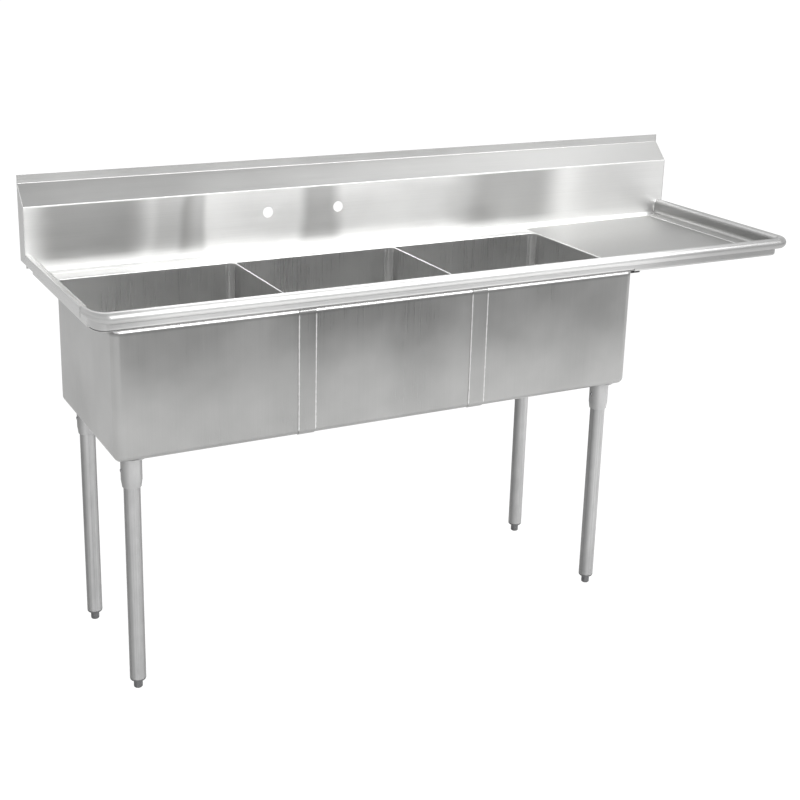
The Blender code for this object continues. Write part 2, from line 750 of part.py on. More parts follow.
# Drain fittings: strainer body, gasket, lock nut and lift-out basket with its plate and knob
def build_drain(name, centre):
    seat = BOWL_BOTTOM + SHEET - BOTTOM_FALL - DRAIN_RECESS_DEPTH
    top = seat + GAP
    place = (centre[0], centre[1], top)
    cup_bottom = -DRAIN_CUP_DEPTH
    tail_bottom = cup_bottom - DRAIN_TAIL_DEPTH
    profile = [
        (DRAIN_FLANGE_RADIUS, 0.0),
        (DRAIN_FLANGE_RADIUS - DRAIN_FLANGE_BEVEL, DRAIN_FLANGE_THICKNESS),
        (DRAIN_CUP_RADIUS - DRAIN_WALL, DRAIN_FLANGE_THICKNESS),
        (DRAIN_CUP_RADIUS - DRAIN_WALL, cup_bottom + DRAIN_WALL),
        (DRAIN_TAIL_RADIUS - DRAIN_WALL, cup_bottom + DRAIN_WALL),
        (DRAIN_TAIL_RADIUS - DRAIN_WALL, tail_bottom),
        (DRAIN_TAIL_RADIUS, tail_bottom),
        (DRAIN_TAIL_RADIUS, cup_bottom),
        (DRAIN_CUP_RADIUS, cup_bottom),
        (DRAIN_CUP_RADIUS, 0.0),
    ]
    vertices, faces = turned(profile, True)
    add_piece("drain_body_" + name, vertices, faces, CHROME, place)

    bore = DRAIN_CUP_RADIUS + GAP
    gasket_top = -SHEET - 2.0 * GAP
    gasket_bottom = gasket_top - GASKET_THICKNESS
    profile = [
        (bore, gasket_top),
        (bore + GASKET_WIDTH, gasket_top),
        (bore + GASKET_WIDTH, gasket_bottom),
        (bore, gasket_bottom),
    ]
    vertices, faces = turned(profile, True)
    add_piece("drain_gasket_" + name, vertices, faces, RUBBER, place)

    nut_top = gasket_bottom - GAP
    nut_bottom = nut_top - LOCKNUT_THICKNESS
    outer = bore + LOCKNUT_WIDTH
    rings = []
    for radius, lug, z in (
        (bore, 0.0, nut_top),
        (outer, LOCKNUT_LUG, nut_top),
        (outer, LOCKNUT_LUG, nut_bottom),
        (bore, 0.0, nut_bottom),
    ):
        ring = []
        for i in range(ROUND_STEPS):
            angle = 2.0 * math.pi * i / ROUND_STEPS
            reach = radius + (lug if i % 3 == 0 else 0.0)
            ring.append((reach * math.cos(angle), reach * math.sin(angle), z))
        rings.append(ring)
    vertices, faces = ring_solid(rings, True)
    add_piece("drain_locknut_" + name, vertices, faces, ZINC, place)

    floor = cup_bottom + DRAIN_WALL + BASKET_CLEARANCE
    slope = BASKET_FLOOR_RADIUS + BASKET_FLOOR_COVE
    profile = [
        (BASKET_RADIUS, BASKET_RIM_Z),
        (BASKET_RADIUS, BASKET_RIM_Z + BASKET_WALL),
        (BASKET_RADIUS - BASKET_RIM_WIDTH, BASKET_RIM_Z + BASKET_WALL),
        (slope, floor + BASKET_FLOOR_COVE),
        (BASKET_FLOOR_RADIUS, floor + BASKET_WALL),
        (BASKET_FLOOR_RADIUS - BASKET_SEAT, floor + BASKET_WALL),
        (BASKET_FLOOR_RADIUS - BASKET_SEAT, floor),
        (BASKET_FLOOR_RADIUS, floor),
        (slope + BASKET_WALL / 2.0, floor + BASKET_FLOOR_COVE - BASKET_WALL),
        (BASKET_RADIUS - BASKET_RIM_WIDTH + BASKET_WALL, BASKET_RIM_Z),
    ]
    vertices, faces = turned(profile, True)
    add_piece("drain_basket_" + name, vertices, faces, CHROME, place)

    plate_bottom = floor + BASKET_WALL + GAP
    plate_radius = BASKET_FLOOR_RADIUS - BASKET_CLEARANCE
    profile = [(plate_radius, plate_bottom), (plate_radius, plate_bottom + BASKET_WALL)]
    vertices, faces = turned(profile, False, CUTTER_STEPS)
    plate = add_piece("basket_plate_" + name, vertices, faces, CHROME, place)
    cutters = []
    for k in range(BASKET_HOLES):
        angle = 2.0 * math.pi * (k + 0.5) / BASKET_HOLES
        spot = (
            centre[0] + BASKET_HOLE_CIRCLE * math.cos(angle),
            centre[1] + BASKET_HOLE_CIRCLE * math.sin(angle),
            top + plate_bottom,
        )
        length = 4.0 * BASKET_WALL
        cutters.append(round_cutter("basket_cut", BASKET_HOLE_RADIUS, length, spot, "z", CHROME, 8))
    apply_cuts(plate, cutters)

    base = plate_bottom + BASKET_WALL + GAP
    profile = [
        (KNOB_RADIUS, base),
        (KNOB_STEM_RADIUS, base + 2.0 * BASKET_WALL),
        (KNOB_STEM_RADIUS, BASKET_RIM_Z - BASKET_WALL),
        (KNOB_RADIUS, BASKET_RIM_Z),
        (KNOB_RADIUS - BASKET_WALL, 0.0),
    ]
    vertices, faces = turned(profile, False, CUTTER_STEPS)
    add_piece("basket_knob_" + name, vertices, faces, CHROME, place)


build_backsplash()
build_deck_frame()
build_rims()
for index, side in enumerate(BOWL_NAMES):
    left = BODY_LEFT + BOWL_PITCH * index + (0.0 if index == 0 else GAP / 2.0)
    right = BODY_LEFT + BOWL_PITCH * (index + 1) - (0.0 if index == BOWL_COUNT - 1 else GAP / 2.0)
    middle_of_bowl = build_bowl("bowl_" + side, left, right)
    build_drain(side, middle_of_bowl)
for index, side in enumerate(("left", "right")):
    seam = BODY_LEFT + BOWL_PITCH * (index + 1)
    build_seam_strip("seam_strip_front_" + side, seam, True)
    build_seam_strip("seam_strip_rear_" + side, seam, False)
build_drainboard()
for row, leg_y in (("front", LEG_FRONT_Y), ("rear", LEG_REAR_Y)):
    for side, leg_x in (("left", LEG_LEFT_X), ("right", LEG_RIGHT_X)):
        build_leg(row + "_" + side, leg_x, leg_y)
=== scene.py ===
"""Looks of the three compartment sink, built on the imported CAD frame."""
import math

import bmesh
import bpy
from mathutils import Matrix, Vector


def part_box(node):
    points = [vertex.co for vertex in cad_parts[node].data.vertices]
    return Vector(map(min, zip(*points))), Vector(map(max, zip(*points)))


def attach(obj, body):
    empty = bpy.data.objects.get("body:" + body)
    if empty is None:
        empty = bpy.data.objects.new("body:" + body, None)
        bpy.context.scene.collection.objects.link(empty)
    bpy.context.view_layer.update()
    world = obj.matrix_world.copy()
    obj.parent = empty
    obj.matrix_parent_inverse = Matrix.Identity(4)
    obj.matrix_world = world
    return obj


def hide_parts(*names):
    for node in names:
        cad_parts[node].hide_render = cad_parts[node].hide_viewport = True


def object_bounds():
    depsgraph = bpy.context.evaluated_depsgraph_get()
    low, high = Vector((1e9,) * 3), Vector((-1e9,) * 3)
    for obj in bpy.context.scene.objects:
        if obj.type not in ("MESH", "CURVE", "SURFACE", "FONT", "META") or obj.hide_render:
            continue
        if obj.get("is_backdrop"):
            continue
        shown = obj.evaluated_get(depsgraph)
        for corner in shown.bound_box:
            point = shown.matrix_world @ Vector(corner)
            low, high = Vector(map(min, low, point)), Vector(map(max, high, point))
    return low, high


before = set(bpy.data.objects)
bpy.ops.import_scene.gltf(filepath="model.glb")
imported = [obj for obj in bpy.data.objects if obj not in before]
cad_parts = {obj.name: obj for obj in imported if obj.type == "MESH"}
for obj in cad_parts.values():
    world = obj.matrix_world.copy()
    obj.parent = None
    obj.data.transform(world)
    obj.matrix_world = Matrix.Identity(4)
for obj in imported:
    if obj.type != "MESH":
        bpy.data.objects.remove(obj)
cad_low, cad_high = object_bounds()

# ---------------------------------------------------------------- sizes that the frame gives
panel_low, panel_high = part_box("backsplash_panel")
cap_low, cap_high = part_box("backsplash_end_cap_left")
deck_low, deck_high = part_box("deck_frame")
rim_l_low, rim_l_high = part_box("rim_left")
rim_f_low, rim_f_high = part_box("rim_front")
rim_d_low, rim_d_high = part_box("rim_drainboard")
pan_low, pan_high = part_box("drainboard_pan")
bowl_boxes = [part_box("bowl_" + side) for side in ("left", "middle", "right")]

LEFT = cad_low.x
RIGHT = cad_high.x
FRONT = cad_low.y
BACK = cad_high.y
TOP = cad_high.z
SHEET = deck_high.z - deck_low.z
RIM_TOP = rim_f_high.z
DECK = deck_high.z
BODY_LEFT = bowl_boxes[0][0].x
BODY_RIGHT = bowl_boxes[2][1].x
BODY_FRONT = bowl_boxes[0][0].y
BODY_BACK = bowl_boxes[0][1].y
PITCH = (BODY_RIGHT - BODY_LEFT) / 3.0
FACE_Y = cap_low.y
LEFT_RIM = rim_l_high.x - rim_l_low.x

# ---------------------------------------------------------------- small real dimensions
ROLL = 0.0142
COVE = 0.0125
CORNER_R = 0.0203
BOTTOM_R = 0.0163
SHOULDER_H = 0.012
SHOULDER_R = 0.014
BOWL_FLOOR = bowl_boxes[0][0].z + 0.006
FALL = 0.003
RECESS_R = 0.060
RECESS_D = 0.003
DRAIN_R = 0.0455
SLOPE_LOW = 1.060
SLOPE_HIGH = 1.109
WRAP_Y = FRONT + 0.080
WRAP_X = LEFT + 0.045
OUTER_R = 0.045
STRIP_GAP = 0.0003
SLEEVE_R = 0.0243
SLEEVE_FLANGE = 0.003
SCREW_HOLE_R = 0.0043
TUBE_WALL = 0.0015
STUB_R = 0.0105
STUB_HEIGHT = 0.020
STEM_PITCH = 0.0014
FLANGE_R = 0.056
CUP_R = 0.0435
TAIL_R = 0.0205
DRAIN_WALL = 0.0015
CUP_DEPTH = 0.034
THREAD_PITCH = 0.0016
BASKET_WALL = 0.0010

# ---------------------------------------------------------------- painted shade tones for the slope, lip and shoulder
SLOPE_SHADE_TONE = 0.46
LIP_SHADE_TONE = 0.66
SHOULDER_SHADE_TONE = 0.62

# ---------------------------------------------------------------- studio
CAMERA_PLACE = (-1.6982, -3.0240, 1.7618)
# yaw, pitch and roll, in degrees
CAMERA_TURN = (-27.4281, 16.9506, 1.3105)
CAMERA_LENS = 62.022
CAMERA_SHIFT = (0.0269, -0.0867)
FLOOR_SIZE = 60.0
FLOOR_SQUEEZE = 0.55
FLOOR_FRONT = (0.66, -3.7, 0.0)
FLOOR_REACH = 4.0
FLOOR_BEHIND = (0.50, 2.0, 0.0)
FLOOR_GLOW = 1.09
FLOOR_SHARE = 0.93
WORLD_SEEN = 1.02
WORLD_STOPS = ((0.5, 0.80), (0.56, 0.95), (0.70, 0.95), (0.84, 0.78))
LAMPS = (
    ("overhead", (0.9, 1.1, 3.3), (0.0, -0.1, 0.9), (4.4, 1.3), 30.0),
    ("front_high", (1.2, -3.0, 3.2), (0.0, 0.2, 1.0), (4.5, 1.0), 105.0),
)


# ---------------------------------------------------------------- materials
def principled(name):
    made = bpy.data.materials.new(name)
    made.use_nodes = True
    return made, made.node_tree.nodes, made.node_tree.links, made.node_tree.nodes["Principled BSDF"]


def noise(nodes, links, coords, scale, detail, rough=0.5):
    """Noise stretched by a scale vector, read in object space."""
    mapping = nodes.new("ShaderNodeMapping")
    mapping.inputs["Scale"].default_value = scale
    texture = nodes.new("ShaderNodeTexNoise")
    texture.inputs["Scale"].default_value = 1.0
    texture.inputs["Detail"].default_value = detail
    texture.inputs["Roughness"].default_value = rough
    links.new(coords, mapping.inputs["Vector"])
    links.new(mapping.outputs["Vector"], texture.inputs["Vector"])
    return texture.outputs["Fac"]


def ranged(nodes, links, value, low, high, out_low, out_high):
    node = nodes.new("ShaderNodeMapRange")
    node.inputs["From Min"].default_value = low
    node.inputs["From Max"].default_value = high
    node.inputs["To Min"].default_value = out_low
    node.inputs["To Max"].default_value = out_high
    links.new(value, node.inputs["Value"])
    return node.outputs["Result"]


def maths(nodes, links, operation, a, b):
    node = nodes.new("ShaderNodeMath")
    node.operation = operation
    for i, item in enumerate((a, b)):
        if isinstance(item, (int, float)):
            node.inputs[i].default_value = item
        else:
            links.new(item, node.inputs[i])
    return node.outputs[0]


def along(nodes, links, vector, axis):
    """One component of a vector."""
    split = nodes.new("ShaderNodeSeparateXYZ")
    links.new(vector, split.inputs["Vector"])
    return split.outputs[axis]


def tinted(nodes, links, shader, base, level):
    """Base colour times a level that varies over the surface."""
    colour = nodes.new("ShaderNodeVectorMath")
    colour.operation = "SCALE"
    colour.inputs[0].default_value = base
    links.new(level, colour.inputs["Scale"])
    links.new(colour.outputs["Vector"], shader.inputs["Base Color"])


def bumped(nodes, links, height, strength, distance, under=None):
    relief = nodes.new("ShaderNodeBump")
    relief.inputs["Strength"].default_value = strength
    relief.inputs["Distance"].default_value = distance
    links.new(height, relief.inputs["Height"])
    if under:
        links.new(under, relief.inputs["Normal"])
    return relief.outputs["Normal"]


def brushed(name, base, rough, grain, spread=0.05, tone=0.04, blotch=0.04, bump=0.2, wave=0.5, aniso=0.5,
            shade=(), shade_from=None, shoulder_shade_from=None):
    """Sheet steel with brush lines along grain ('x', 'y' or 'z').

    shade lists soft darker patches, painted reflections and painted shade, as (x, half width, depth) across
    the sheet, fading out below shade_from; with them the slope and lip are painted darker too.
    Above the shoulder height given, the base colour is painted darker, a painted shade that tones down the
    shoulder's highlight.
    """
    made, nodes, links, shader = principled(name)
    coords = nodes.new("ShaderNodeTexCoord").outputs["Object"]
    fine = [750.0, 750.0, 750.0]
    fine["xyz".index(grain)] = 4.0
    broad = [90.0, 90.0, 90.0]
    broad["xyz".index(grain)] = 1.2
    lines = noise(nodes, links, coords, fine, 3.0, 0.6)
    bands = noise(nodes, links, coords, broad, 3.0, 0.55)
    cloud = noise(nodes, links, coords, (5.0, 5.0, 5.0), 3.0, 0.5)
    speck = noise(nodes, links, coords, (300.0, 300.0, 300.0), 2.0, 0.6)

    level = maths(nodes, links, "ADD", ranged(nodes, links, lines, 0.3, 0.7, -tone, tone),
                  ranged(nodes, links, bands, 0.3, 0.7, -tone * 0.2, tone * 0.2))
    level = maths(nodes, links, "ADD", level, ranged(nodes, links, cloud, 0.3, 0.7, -blotch, blotch))
    level = maths(nodes, links, "ADD", level, 1.0)
    # painted reflections and shade: soft darker patches across the sheet
    if shade:
        height = along(nodes, links, coords, "Z")
        slow_noise = noise(nodes, links, coords, (5.0, 5.0, 4.0), 1.0, 0.4)
        wander = ranged(nodes, links, slow_noise, 0.3, 0.7, -0.02, 0.02)
        across_x = maths(nodes, links, "ADD", along(nodes, links, coords, "X"), wander)
        for centre, half, depth in shade:
            away = maths(nodes, links, "ABSOLUTE", maths(nodes, links, "SUBTRACT", across_x, centre), 0.0)
            lifted = ranged(nodes, links, height, SLOPE_LOW - 0.004, SLOPE_LOW, 0.0, half * 2.0)
            away = maths(nodes, links, "ADD", away, lifted)
            patch = nodes.new("ShaderNodeMapRange")
            patch.interpolation_type = "SMOOTHERSTEP"
            patch.inputs["From Min"].default_value = half * 0.45
            patch.inputs["From Max"].default_value = half * 1.35
            patch.inputs["To Min"].default_value = 1.0 - depth
            patch.inputs["To Max"].default_value = 1.0
            links.new(away, patch.inputs["Value"])
            kept = patch.outputs["Result"]
            if shade_from:
                share = ranged(nodes, links, height, shade_from, shade_from + 0.030, 0.0, 1.0)
                lost = maths(nodes, links, "MULTIPLY", maths(nodes, links, "SUBTRACT", 1.0, kept), share)
                kept = maths(nodes, links, "SUBTRACT", 1.0, lost)
            level = maths(nodes, links, "MULTIPLY", level, kept)
        # the slope and the lip above the face are painted darker, as painted shade
        rising = ranged(nodes, links, height, SLOPE_LOW - 0.001, SLOPE_LOW + 0.001, 1.0, SLOPE_SHADE_TONE)
        fading = ranged(nodes, links, height, SLOPE_HIGH - 0.001, SLOPE_HIGH + 0.001, 0.0,
                        LIP_SHADE_TONE - SLOPE_SHADE_TONE)
        level = maths(nodes, links, "MULTIPLY", level, maths(nodes, links, "ADD", rising, fading))
    # painted shade: the steel above the shoulder line is darkened to tone down its highlight
    if shoulder_shade_from:
        height = along(nodes, links, coords, "Z")
        shoulder_shade = ranged(nodes, links, height, shoulder_shade_from - 0.004, shoulder_shade_from + 0.003, 1.0, SHOULDER_SHADE_TONE)
        level = maths(nodes, links, "MULTIPLY", level, shoulder_shade)
    tinted(nodes, links, shader, base, level)

    gloss = ranged(nodes, links, lines, 0.25, 0.75, rough - spread, rough + spread)
    gloss = maths(nodes, links, "ADD", gloss,
                  ranged(nodes, links, cloud, 0.3, 0.7, -spread * 0.5, spread * 0.5))
    gloss = maths(nodes, links, "ADD", gloss, ranged(nodes, links, speck, 0.55, 0.8, 0.0, spread))
    links.new(gloss, shader.inputs["Roughness"])

    swell = noise(nodes, links, coords, (7.0, 7.0, 7.0), 1.0, 0.4)
    slow = bumped(nodes, links, swell, wave, 0.0012)
    links.new(bumped(nodes, links, lines, bump, 0.00006, slow), shader.inputs["Normal"])

    shader.inputs["Metallic"].default_value = 1.0
    shader.inputs["Anisotropic"].default_value = aniso
    tangent = nodes.new("ShaderNodeTangent")
    tangent.direction_type = "RADIAL"
    tangent.axis = grain.upper()
    links.new(tangent.outputs["Tangent"], shader.inputs["Tangent"])
    return made


def cast(name, base, rough, metallic=0.85, grit=700.0, bump=0.35, spangle=0.0, sides=0.0, drawn=0.0):
    """Matt or galvanised metal with fine grit and cloudy patches.

    sides darkens the faces that look along x, a painted shade on the flanks of round parts, and drawn adds
    the long lines of a drawn tube.
    """
    made, nodes, links, shader = principled(name)
    coords = nodes.new("ShaderNodeTexCoord").outputs["Object"]
    fine = noise(nodes, links, coords, (grit, grit, grit), 4.0, 0.65)
    cloud = noise(nodes, links, coords, (38.0, 38.0, 14.0), 4.0, 0.6)
    level = maths(nodes, links, "ADD", ranged(nodes, links, cloud, 0.3, 0.7, 0.93, 1.06),
                  ranged(nodes, links, fine, 0.3, 0.7, -0.04, 0.04))
    if spangle:
        cells = nodes.new("ShaderNodeTexVoronoi")
        mapping = nodes.new("ShaderNodeMapping")
        mapping.inputs["Scale"].default_value = (140.0, 140.0, 40.0)
        links.new(coords, mapping.inputs["Vector"])
        links.new(mapping.outputs["Vector"], cells.inputs["Vector"])
        cells.inputs["Scale"].default_value = 1.0
        flake = nodes.new("ShaderNodeSeparateColor")
        links.new(cells.outputs["Color"], flake.inputs["Color"])
        glint = ranged(nodes, links, flake.outputs["Red"], 0.0, 1.0, -spangle, spangle)
        level = maths(nodes, links, "ADD", level, glint)
    if drawn:
        lines = noise(nodes, links, coords, (420.0, 420.0, 1.5), 3.0, 0.6)
        level = maths(nodes, links, "ADD", level, ranged(nodes, links, lines, 0.3, 0.7, -drawn, drawn))
    # painted shade: the flanks that face along x are darkened
    if sides:
        facing = along(nodes, links, nodes.new("ShaderNodeTexCoord").outputs["Normal"], "X")
        turned_away = maths(nodes, links, "ABSOLUTE", facing, 0.0)
        painted_flank_shade = ranged(nodes, links, turned_away, 0.45, 0.95, 1.0, 1.0 - sides)
        level = maths(nodes, links, "MULTIPLY", level, painted_flank_shade)
    tinted(nodes, links, shader, base, level)
    links.new(ranged(nodes, links, fine, 0.25, 0.75, rough - 0.08, rough + 0.10), shader.inputs["Roughness"])
    links.new(bumped(nodes, links, fine, bump, 0.0002), shader.inputs["Normal"])
    shader.inputs["Metallic"].default_value = metallic
    return made


# These steels are lit and shaded copies of one stainless: the base tone is painted lighter on the splash and
# the bowl insides and darker on the pan and the left rim, as painted light and shade.
SHEET_X = brushed("steel_grain_x", (0.62, 0.62, 0.615), 0.30, "x")
# painted reflections: the soft darker patches across the splash stand in for the room reflected in the steel
SPLASH = brushed("steel_splash", (0.93, 0.93, 0.92), 0.38, "x", tone=0.03, blotch=0.03,
                 shade_from=DECK + 0.006,
                 shade=((-0.80, 0.13, 0.52), (-0.60, 0.06, 0.25), (-0.535, 0.04, 0.30), (-0.17, 0.066, 0.40),
                        (0.41, 0.17, 0.45), (0.86, 0.22, 0.18)))
SHEET_PAN = brushed("steel_pan", (0.38, 0.38, 0.375), 0.42, "x", tone=0.025, blotch=0.03, wave=0.3, aniso=0.3)
SHEET_Y = brushed("steel_grain_y", (0.60, 0.60, 0.595), 0.30, "y")
SHEET_Z = brushed("steel_grain_z", (0.58, 0.58, 0.575), 0.33, "z", bump=0.12)
BOWL_OUT = brushed("steel_bowl", (0.44, 0.44, 0.435), 0.32, "z", tone=0.03, blotch=0.12, bump=0.06,
                   shoulder_shade_from=DECK - SHOULDER_H)
BOWL_IN = brushed("steel_bowl_inside", (0.77, 0.77, 0.765), 0.30, "z", tone=0.02, blotch=0.08, bump=0.03,
                  aniso=0.3)
# painted shade: the roll is darkened towards its right end and at its left corner, where less lamp light
# reflects
RIM_METAL = brushed("steel_rim", (0.80, 0.80, 0.795), 0.34, "x", tone=0.03, wave=0.3,
                    shade=((1.20, 0.72, 0.50), (-1.05, 0.22, 0.36)))
RIM_METAL_Y = brushed("steel_rim_y", (0.54, 0.54, 0.535), 0.26, "y", tone=0.03, wave=0.3)
# weld metal is set lighter than the sheet so the beads read as bright lines, partly painted highlight; it
# also draws the painted highlight bars in the bowl corners and along the pan crease
WELD_AND_HIGHLIGHT = cast("weld_and_highlight_metal", (0.80, 0.80, 0.795), 0.30, 1.0, 900.0, 0.5)
TUBE_METAL = cast("galvanised_tube", (0.52, 0.52, 0.52), 0.34, 1.0, 600.0, 0.2, 0.02, sides=0.55, drawn=0.12)
SOCKET_METAL = cast("galvanised_socket", (0.56, 0.56, 0.56), 0.48, 0.9, 500.0, 0.5, sides=0.45)
FOOT_METAL = cast("zinc_foot", (0.22, 0.22, 0.225), 0.45, 0.9, 600.0, 0.4, sides=0.4)
SCREW_METAL = cast("screw_steel", (0.38, 0.38, 0.39), 0.40, 0.9, 800.0, 0.3)
RUBBER_BLACK = cast("washer_rubber", (0.03, 0.03, 0.032), 0.70, 0.0, 500.0, 0.3)
STRAINER = brushed("strainer_polish", (0.70, 0.70, 0.695), 0.16, "z", spread=0.04, tone=0.02, wave=0.1,
                   aniso=0.2)


# ---------------------------------------------------------------- mesh helpers
def sine(degrees):
    return math.sin(math.radians(degrees))


def cosine(degrees):
    return math.cos(math.radians(degrees))


def placed(name, data):
    made = bpy.data.objects.new(name, data)
    bpy.context.scene.collection.objects.link(made)
    return made


def outward_mesh(name, vertices, faces, merge=None):
    mesh = bpy.data.meshes.new(name)
    mesh.from_pydata([tuple(v) for v in vertices], [], faces)
    work = bmesh.new()
    work.from_mesh(mesh)
    if merge:
        bmesh.ops.remove_doubles(work, verts=work.verts, dist=merge)
    bmesh.ops.recalc_face_normals(work, faces=work.faces)
    work.to_mesh(mesh)
    work.free()
    return mesh


def piece(name, vertices, faces, look, replaces=(), body="sink", sharp=32.0):
    """A new visual piece that rides on a CAD body."""
    mesh = outward_mesh(name, vertices, faces, 1e-6)
    mesh.materials.append(look)
    mesh.shade_smooth()
    mesh.set_sharp_from_angle(angle=math.radians(sharp))
    made = placed(name, mesh)
    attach(made, body)
    if replaces:
        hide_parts(*replaces)
    return made


def arc(centre, radius, start, end, steps):
    points = []
    for i in range(steps + 1):
        angle = math.radians(start + (end - start) * i / steps)
        points.append((centre[0] + radius * math.cos(angle), centre[1] + radius * math.sin(angle)))
    return points


def offset_path(path, distance):
    """Offset an open 2D path to its right by a distance, mitring the corners."""
    moved = []
    last = len(path) - 1
    for i, point in enumerate(path):
        before = Vector(path[max(i - 1, 0)])
        here = Vector(point)
        after = Vector(path[min(i + 1, last)])
        into = (here - before) if i > 0 else (after - here)
        out = (after - here) if i < last else into
        into.normalize()
        out.normalize()
        normal_in = Vector((into.y, -into.x))
        normal_out = Vector((out.y, -out.x))
        middle = (normal_in + normal_out).normalized()
        reach = distance / max(middle.dot(normal_in), 0.2)
        moved.append((point[0] + middle.x * reach, point[1] + middle.y * reach))
    return moved


def rounded_path(corners, radius, steps):
    """Open 2D path through corner points with every inner corner rounded."""
    path = [corners[0]]
    for i in range(1, len(corners) - 1):
        corner = Vector(corners[i])
        back = (Vector(corners[i - 1]) - corner).normalized()
        ahead = (Vector(corners[i + 1]) - corner).normalized()
        half = math.acos(max(-1.0, min(1.0, back.dot(ahead)))) / 2.0
        run = radius / math.tan(half)
        centre = corner + (back + ahead).normalized() * (radius / math.sin(half))
        first = corner + back * run
        second = corner + ahead * run
        a = math.atan2(first.y - centre.y, first.x - centre.x)
        b = math.atan2(second.y - centre.y, second.x - centre.x)
        turn = (b - a + math.pi) % (2.0 * math.pi) - math.pi
        for k in range(steps + 1):
            angle = a + turn * k / steps
            path.append((centre.x + radius * math.cos(angle), centre.y + radius * math.sin(angle)))
    path.append(corners[-1])
    return path


def sheet_solid(stations):
    """Closed solid from stations, each a pair of equal 3D point rows (one per sheet face)."""
    count = len(stations[0][0])
    vertices = []
    for face_a, face_b in stations:
        vertices.extend(face_a)
        vertices.extend(face_b)

    def at(station, side, i):
        return (station * 2 + side) * count + i

    faces = []
    last = len(stations) - 1
    for s in range(last):
        for i in range(count - 1):
            faces.append((at(s, 0, i), at(s + 1, 0, i), at(s + 1, 0, i + 1), at(s, 0, i + 1)))
            faces.append((at(s, 1, i), at(s, 1, i + 1), at(s + 1, 1, i + 1), at(s + 1, 1, i)))
        for i in (0, count - 1):
            faces.append((at(s, 0, i), at(s, 1, i), at(s + 1, 1, i), at(s + 1, 0, i)))
    for s in (0, last):
        for i in range(count - 1):
            faces.append((at(s, 0, i), at(s, 0, i + 1), at(s, 1, i + 1), at(s, 1, i)))
    return vertices, faces


def ring_solid(rings, closed):
    """Solid from equal rings; closed joins the last ring to the first, else both are capped."""
    count = len(rings[0])
    vertices = [point for ring in rings for point in ring]
    faces = []
    pairs = len(rings) if closed else len(rings) - 1
    for r in range(pairs):
        s = (r + 1) % len(rings)
        for i in range(count):
            j = (i + 1) % count
            faces.append((r * count + i, r * count + j, s * count + j, s * count + i))
    if not closed:
        faces.append(tuple(range(count)))
        faces.append(tuple((len(rings) - 1) * count + i for i in range(count)))
    return vertices, faces


def turned(profile, closed, centre=(0.0, 0.0, 0.0), steps=64):
    """Rings made by turning (radius, z) points about a vertical line."""
    rings = []
    for radius, z in profile:
        ring = []
        for i in range(steps):
            angle = 2.0 * math.pi * i / steps
            x = centre[0] + radius * math.cos(angle)
            y = centre[1] + radius * math.sin(angle)
            ring.append((x, y, centre[2] + z))
        rings.append(ring)
    return ring_solid(rings, closed)


def threads(start, end, root, crest, pitch, rise):
    """Profile points of a thread, as plain rings."""
    points = []
    while start < end:
        points += [(root, start + 0.0004), (crest, start + rise)]
        start += pitch
    return points


def turned_piece(name, profile, centre, look, nodes, closed=True, steps=64, body="sink", sharp=38.0):
    vertices, faces = turned(profile, closed, centre, steps)
    return piece(name, vertices, faces, look, nodes, body=body, sharp=sharp)


def tube_along(points, radius, sides=10):
    """Round bar through 3D points, its ends tapered shut like the end of a weld."""
    rings = []
    last = len(points) - 1
    for i, point in enumerate(points):
        here = Vector(point)
        ahead = (Vector(points[min(i + 1, last)]) - Vector(points[max(i - 1, 0)])).normalized()
        side = ahead.cross(Vector((0.0, 0.0, 1.0)))
        if side.length < 0.1:
            side = ahead.cross(Vector((0.0, 1.0, 0.0)))
        side.normalize()
        up = side.cross(ahead)
        size = radius * (0.35 if i in (0, last) else 1.0)
        rings.append([here + side * size * math.cos(2.0 * math.pi * k / sides)
                      + up * size * math.sin(2.0 * math.pi * k / sides) for k in range(sides)])
    return ring_solid(rings, False)


def bead(name, start, end, radius, ripples=0.0, body="sink"):
    """Bar of weld metal between two points; it draws the ground weld beads and the painted highlight lines.
    """
    a, b = Vector(start), Vector(end)
    count = max(3, int((b - a).length / 0.006))
    points = [a + (b - a) * (i / count) for i in range(count + 1)]
    vertices, faces = tube_along(points, radius)
    if ripples:
        sides = 10
        for i in range(1, count):
            swell = 1.0 + ripples * math.sin(i * 2.4) * math.sin(i * 0.73 + 1.0)
            for k in range(sides):
                n = i * sides + k
                vertices[n] = points[i] + (vertices[n] - points[i]) * swell
    return piece(name, vertices, faces, WELD_AND_HIGHLIGHT, body=body, sharp=60.0)


def cut(made, cutters):
    """Bake boolean cuts into a piece and drop the cutters."""
    for cutter in cutters:
        modifier = made.modifiers.new("cut", "BOOLEAN")
        modifier.operation = "DIFFERENCE"
        modifier.solver = "EXACT"
        modifier.object = cutter
    bpy.context.view_layer.update()
    graph = bpy.context.evaluated_depsgraph_get()
    result = bpy.data.meshes.new_from_object(made.evaluated_get(graph))
    made.modifiers.clear()
    made.data = result
    made.data.shade_smooth()
    made.data.set_sharp_from_angle(angle=math.radians(32.0))
    for cutter in cutters:
        bpy.data.objects.remove(cutter)


def cutter_from(vertices, faces):
    return placed("cutter", outward_mesh("cutter", vertices, faces))


def thickened(work):
    """Give a flat sheet its thickness downwards, and read it out."""
    extruded = bmesh.ops.extrude_face_region(work, geom=list(work.faces))
    moved = [item for item in extruded["geom"] if isinstance(item, bmesh.types.BMVert)]
    bmesh.ops.translate(work, verts=moved, vec=(0.0, 0.0, -SHEET))
    work.verts.index_update()
    vertices = [v.co.copy() for v in work.verts]
    faces = [tuple(v.index for v in f.verts) for f in work.faces]
    work.free()
    return vertices, faces


def box_from(x, y, z):
    rings = [[(x[0], y[0], h), (x[1], y[0], h), (x[1], y[1], h), (x[0], y[1], h)] for h in z]
    return ring_solid(rings, False)


# ---------------------------------------------------------------- backsplash
HOLE_R = 0.0143
HOLE_Z = 0.999
HOLE_GAP = 0.2032


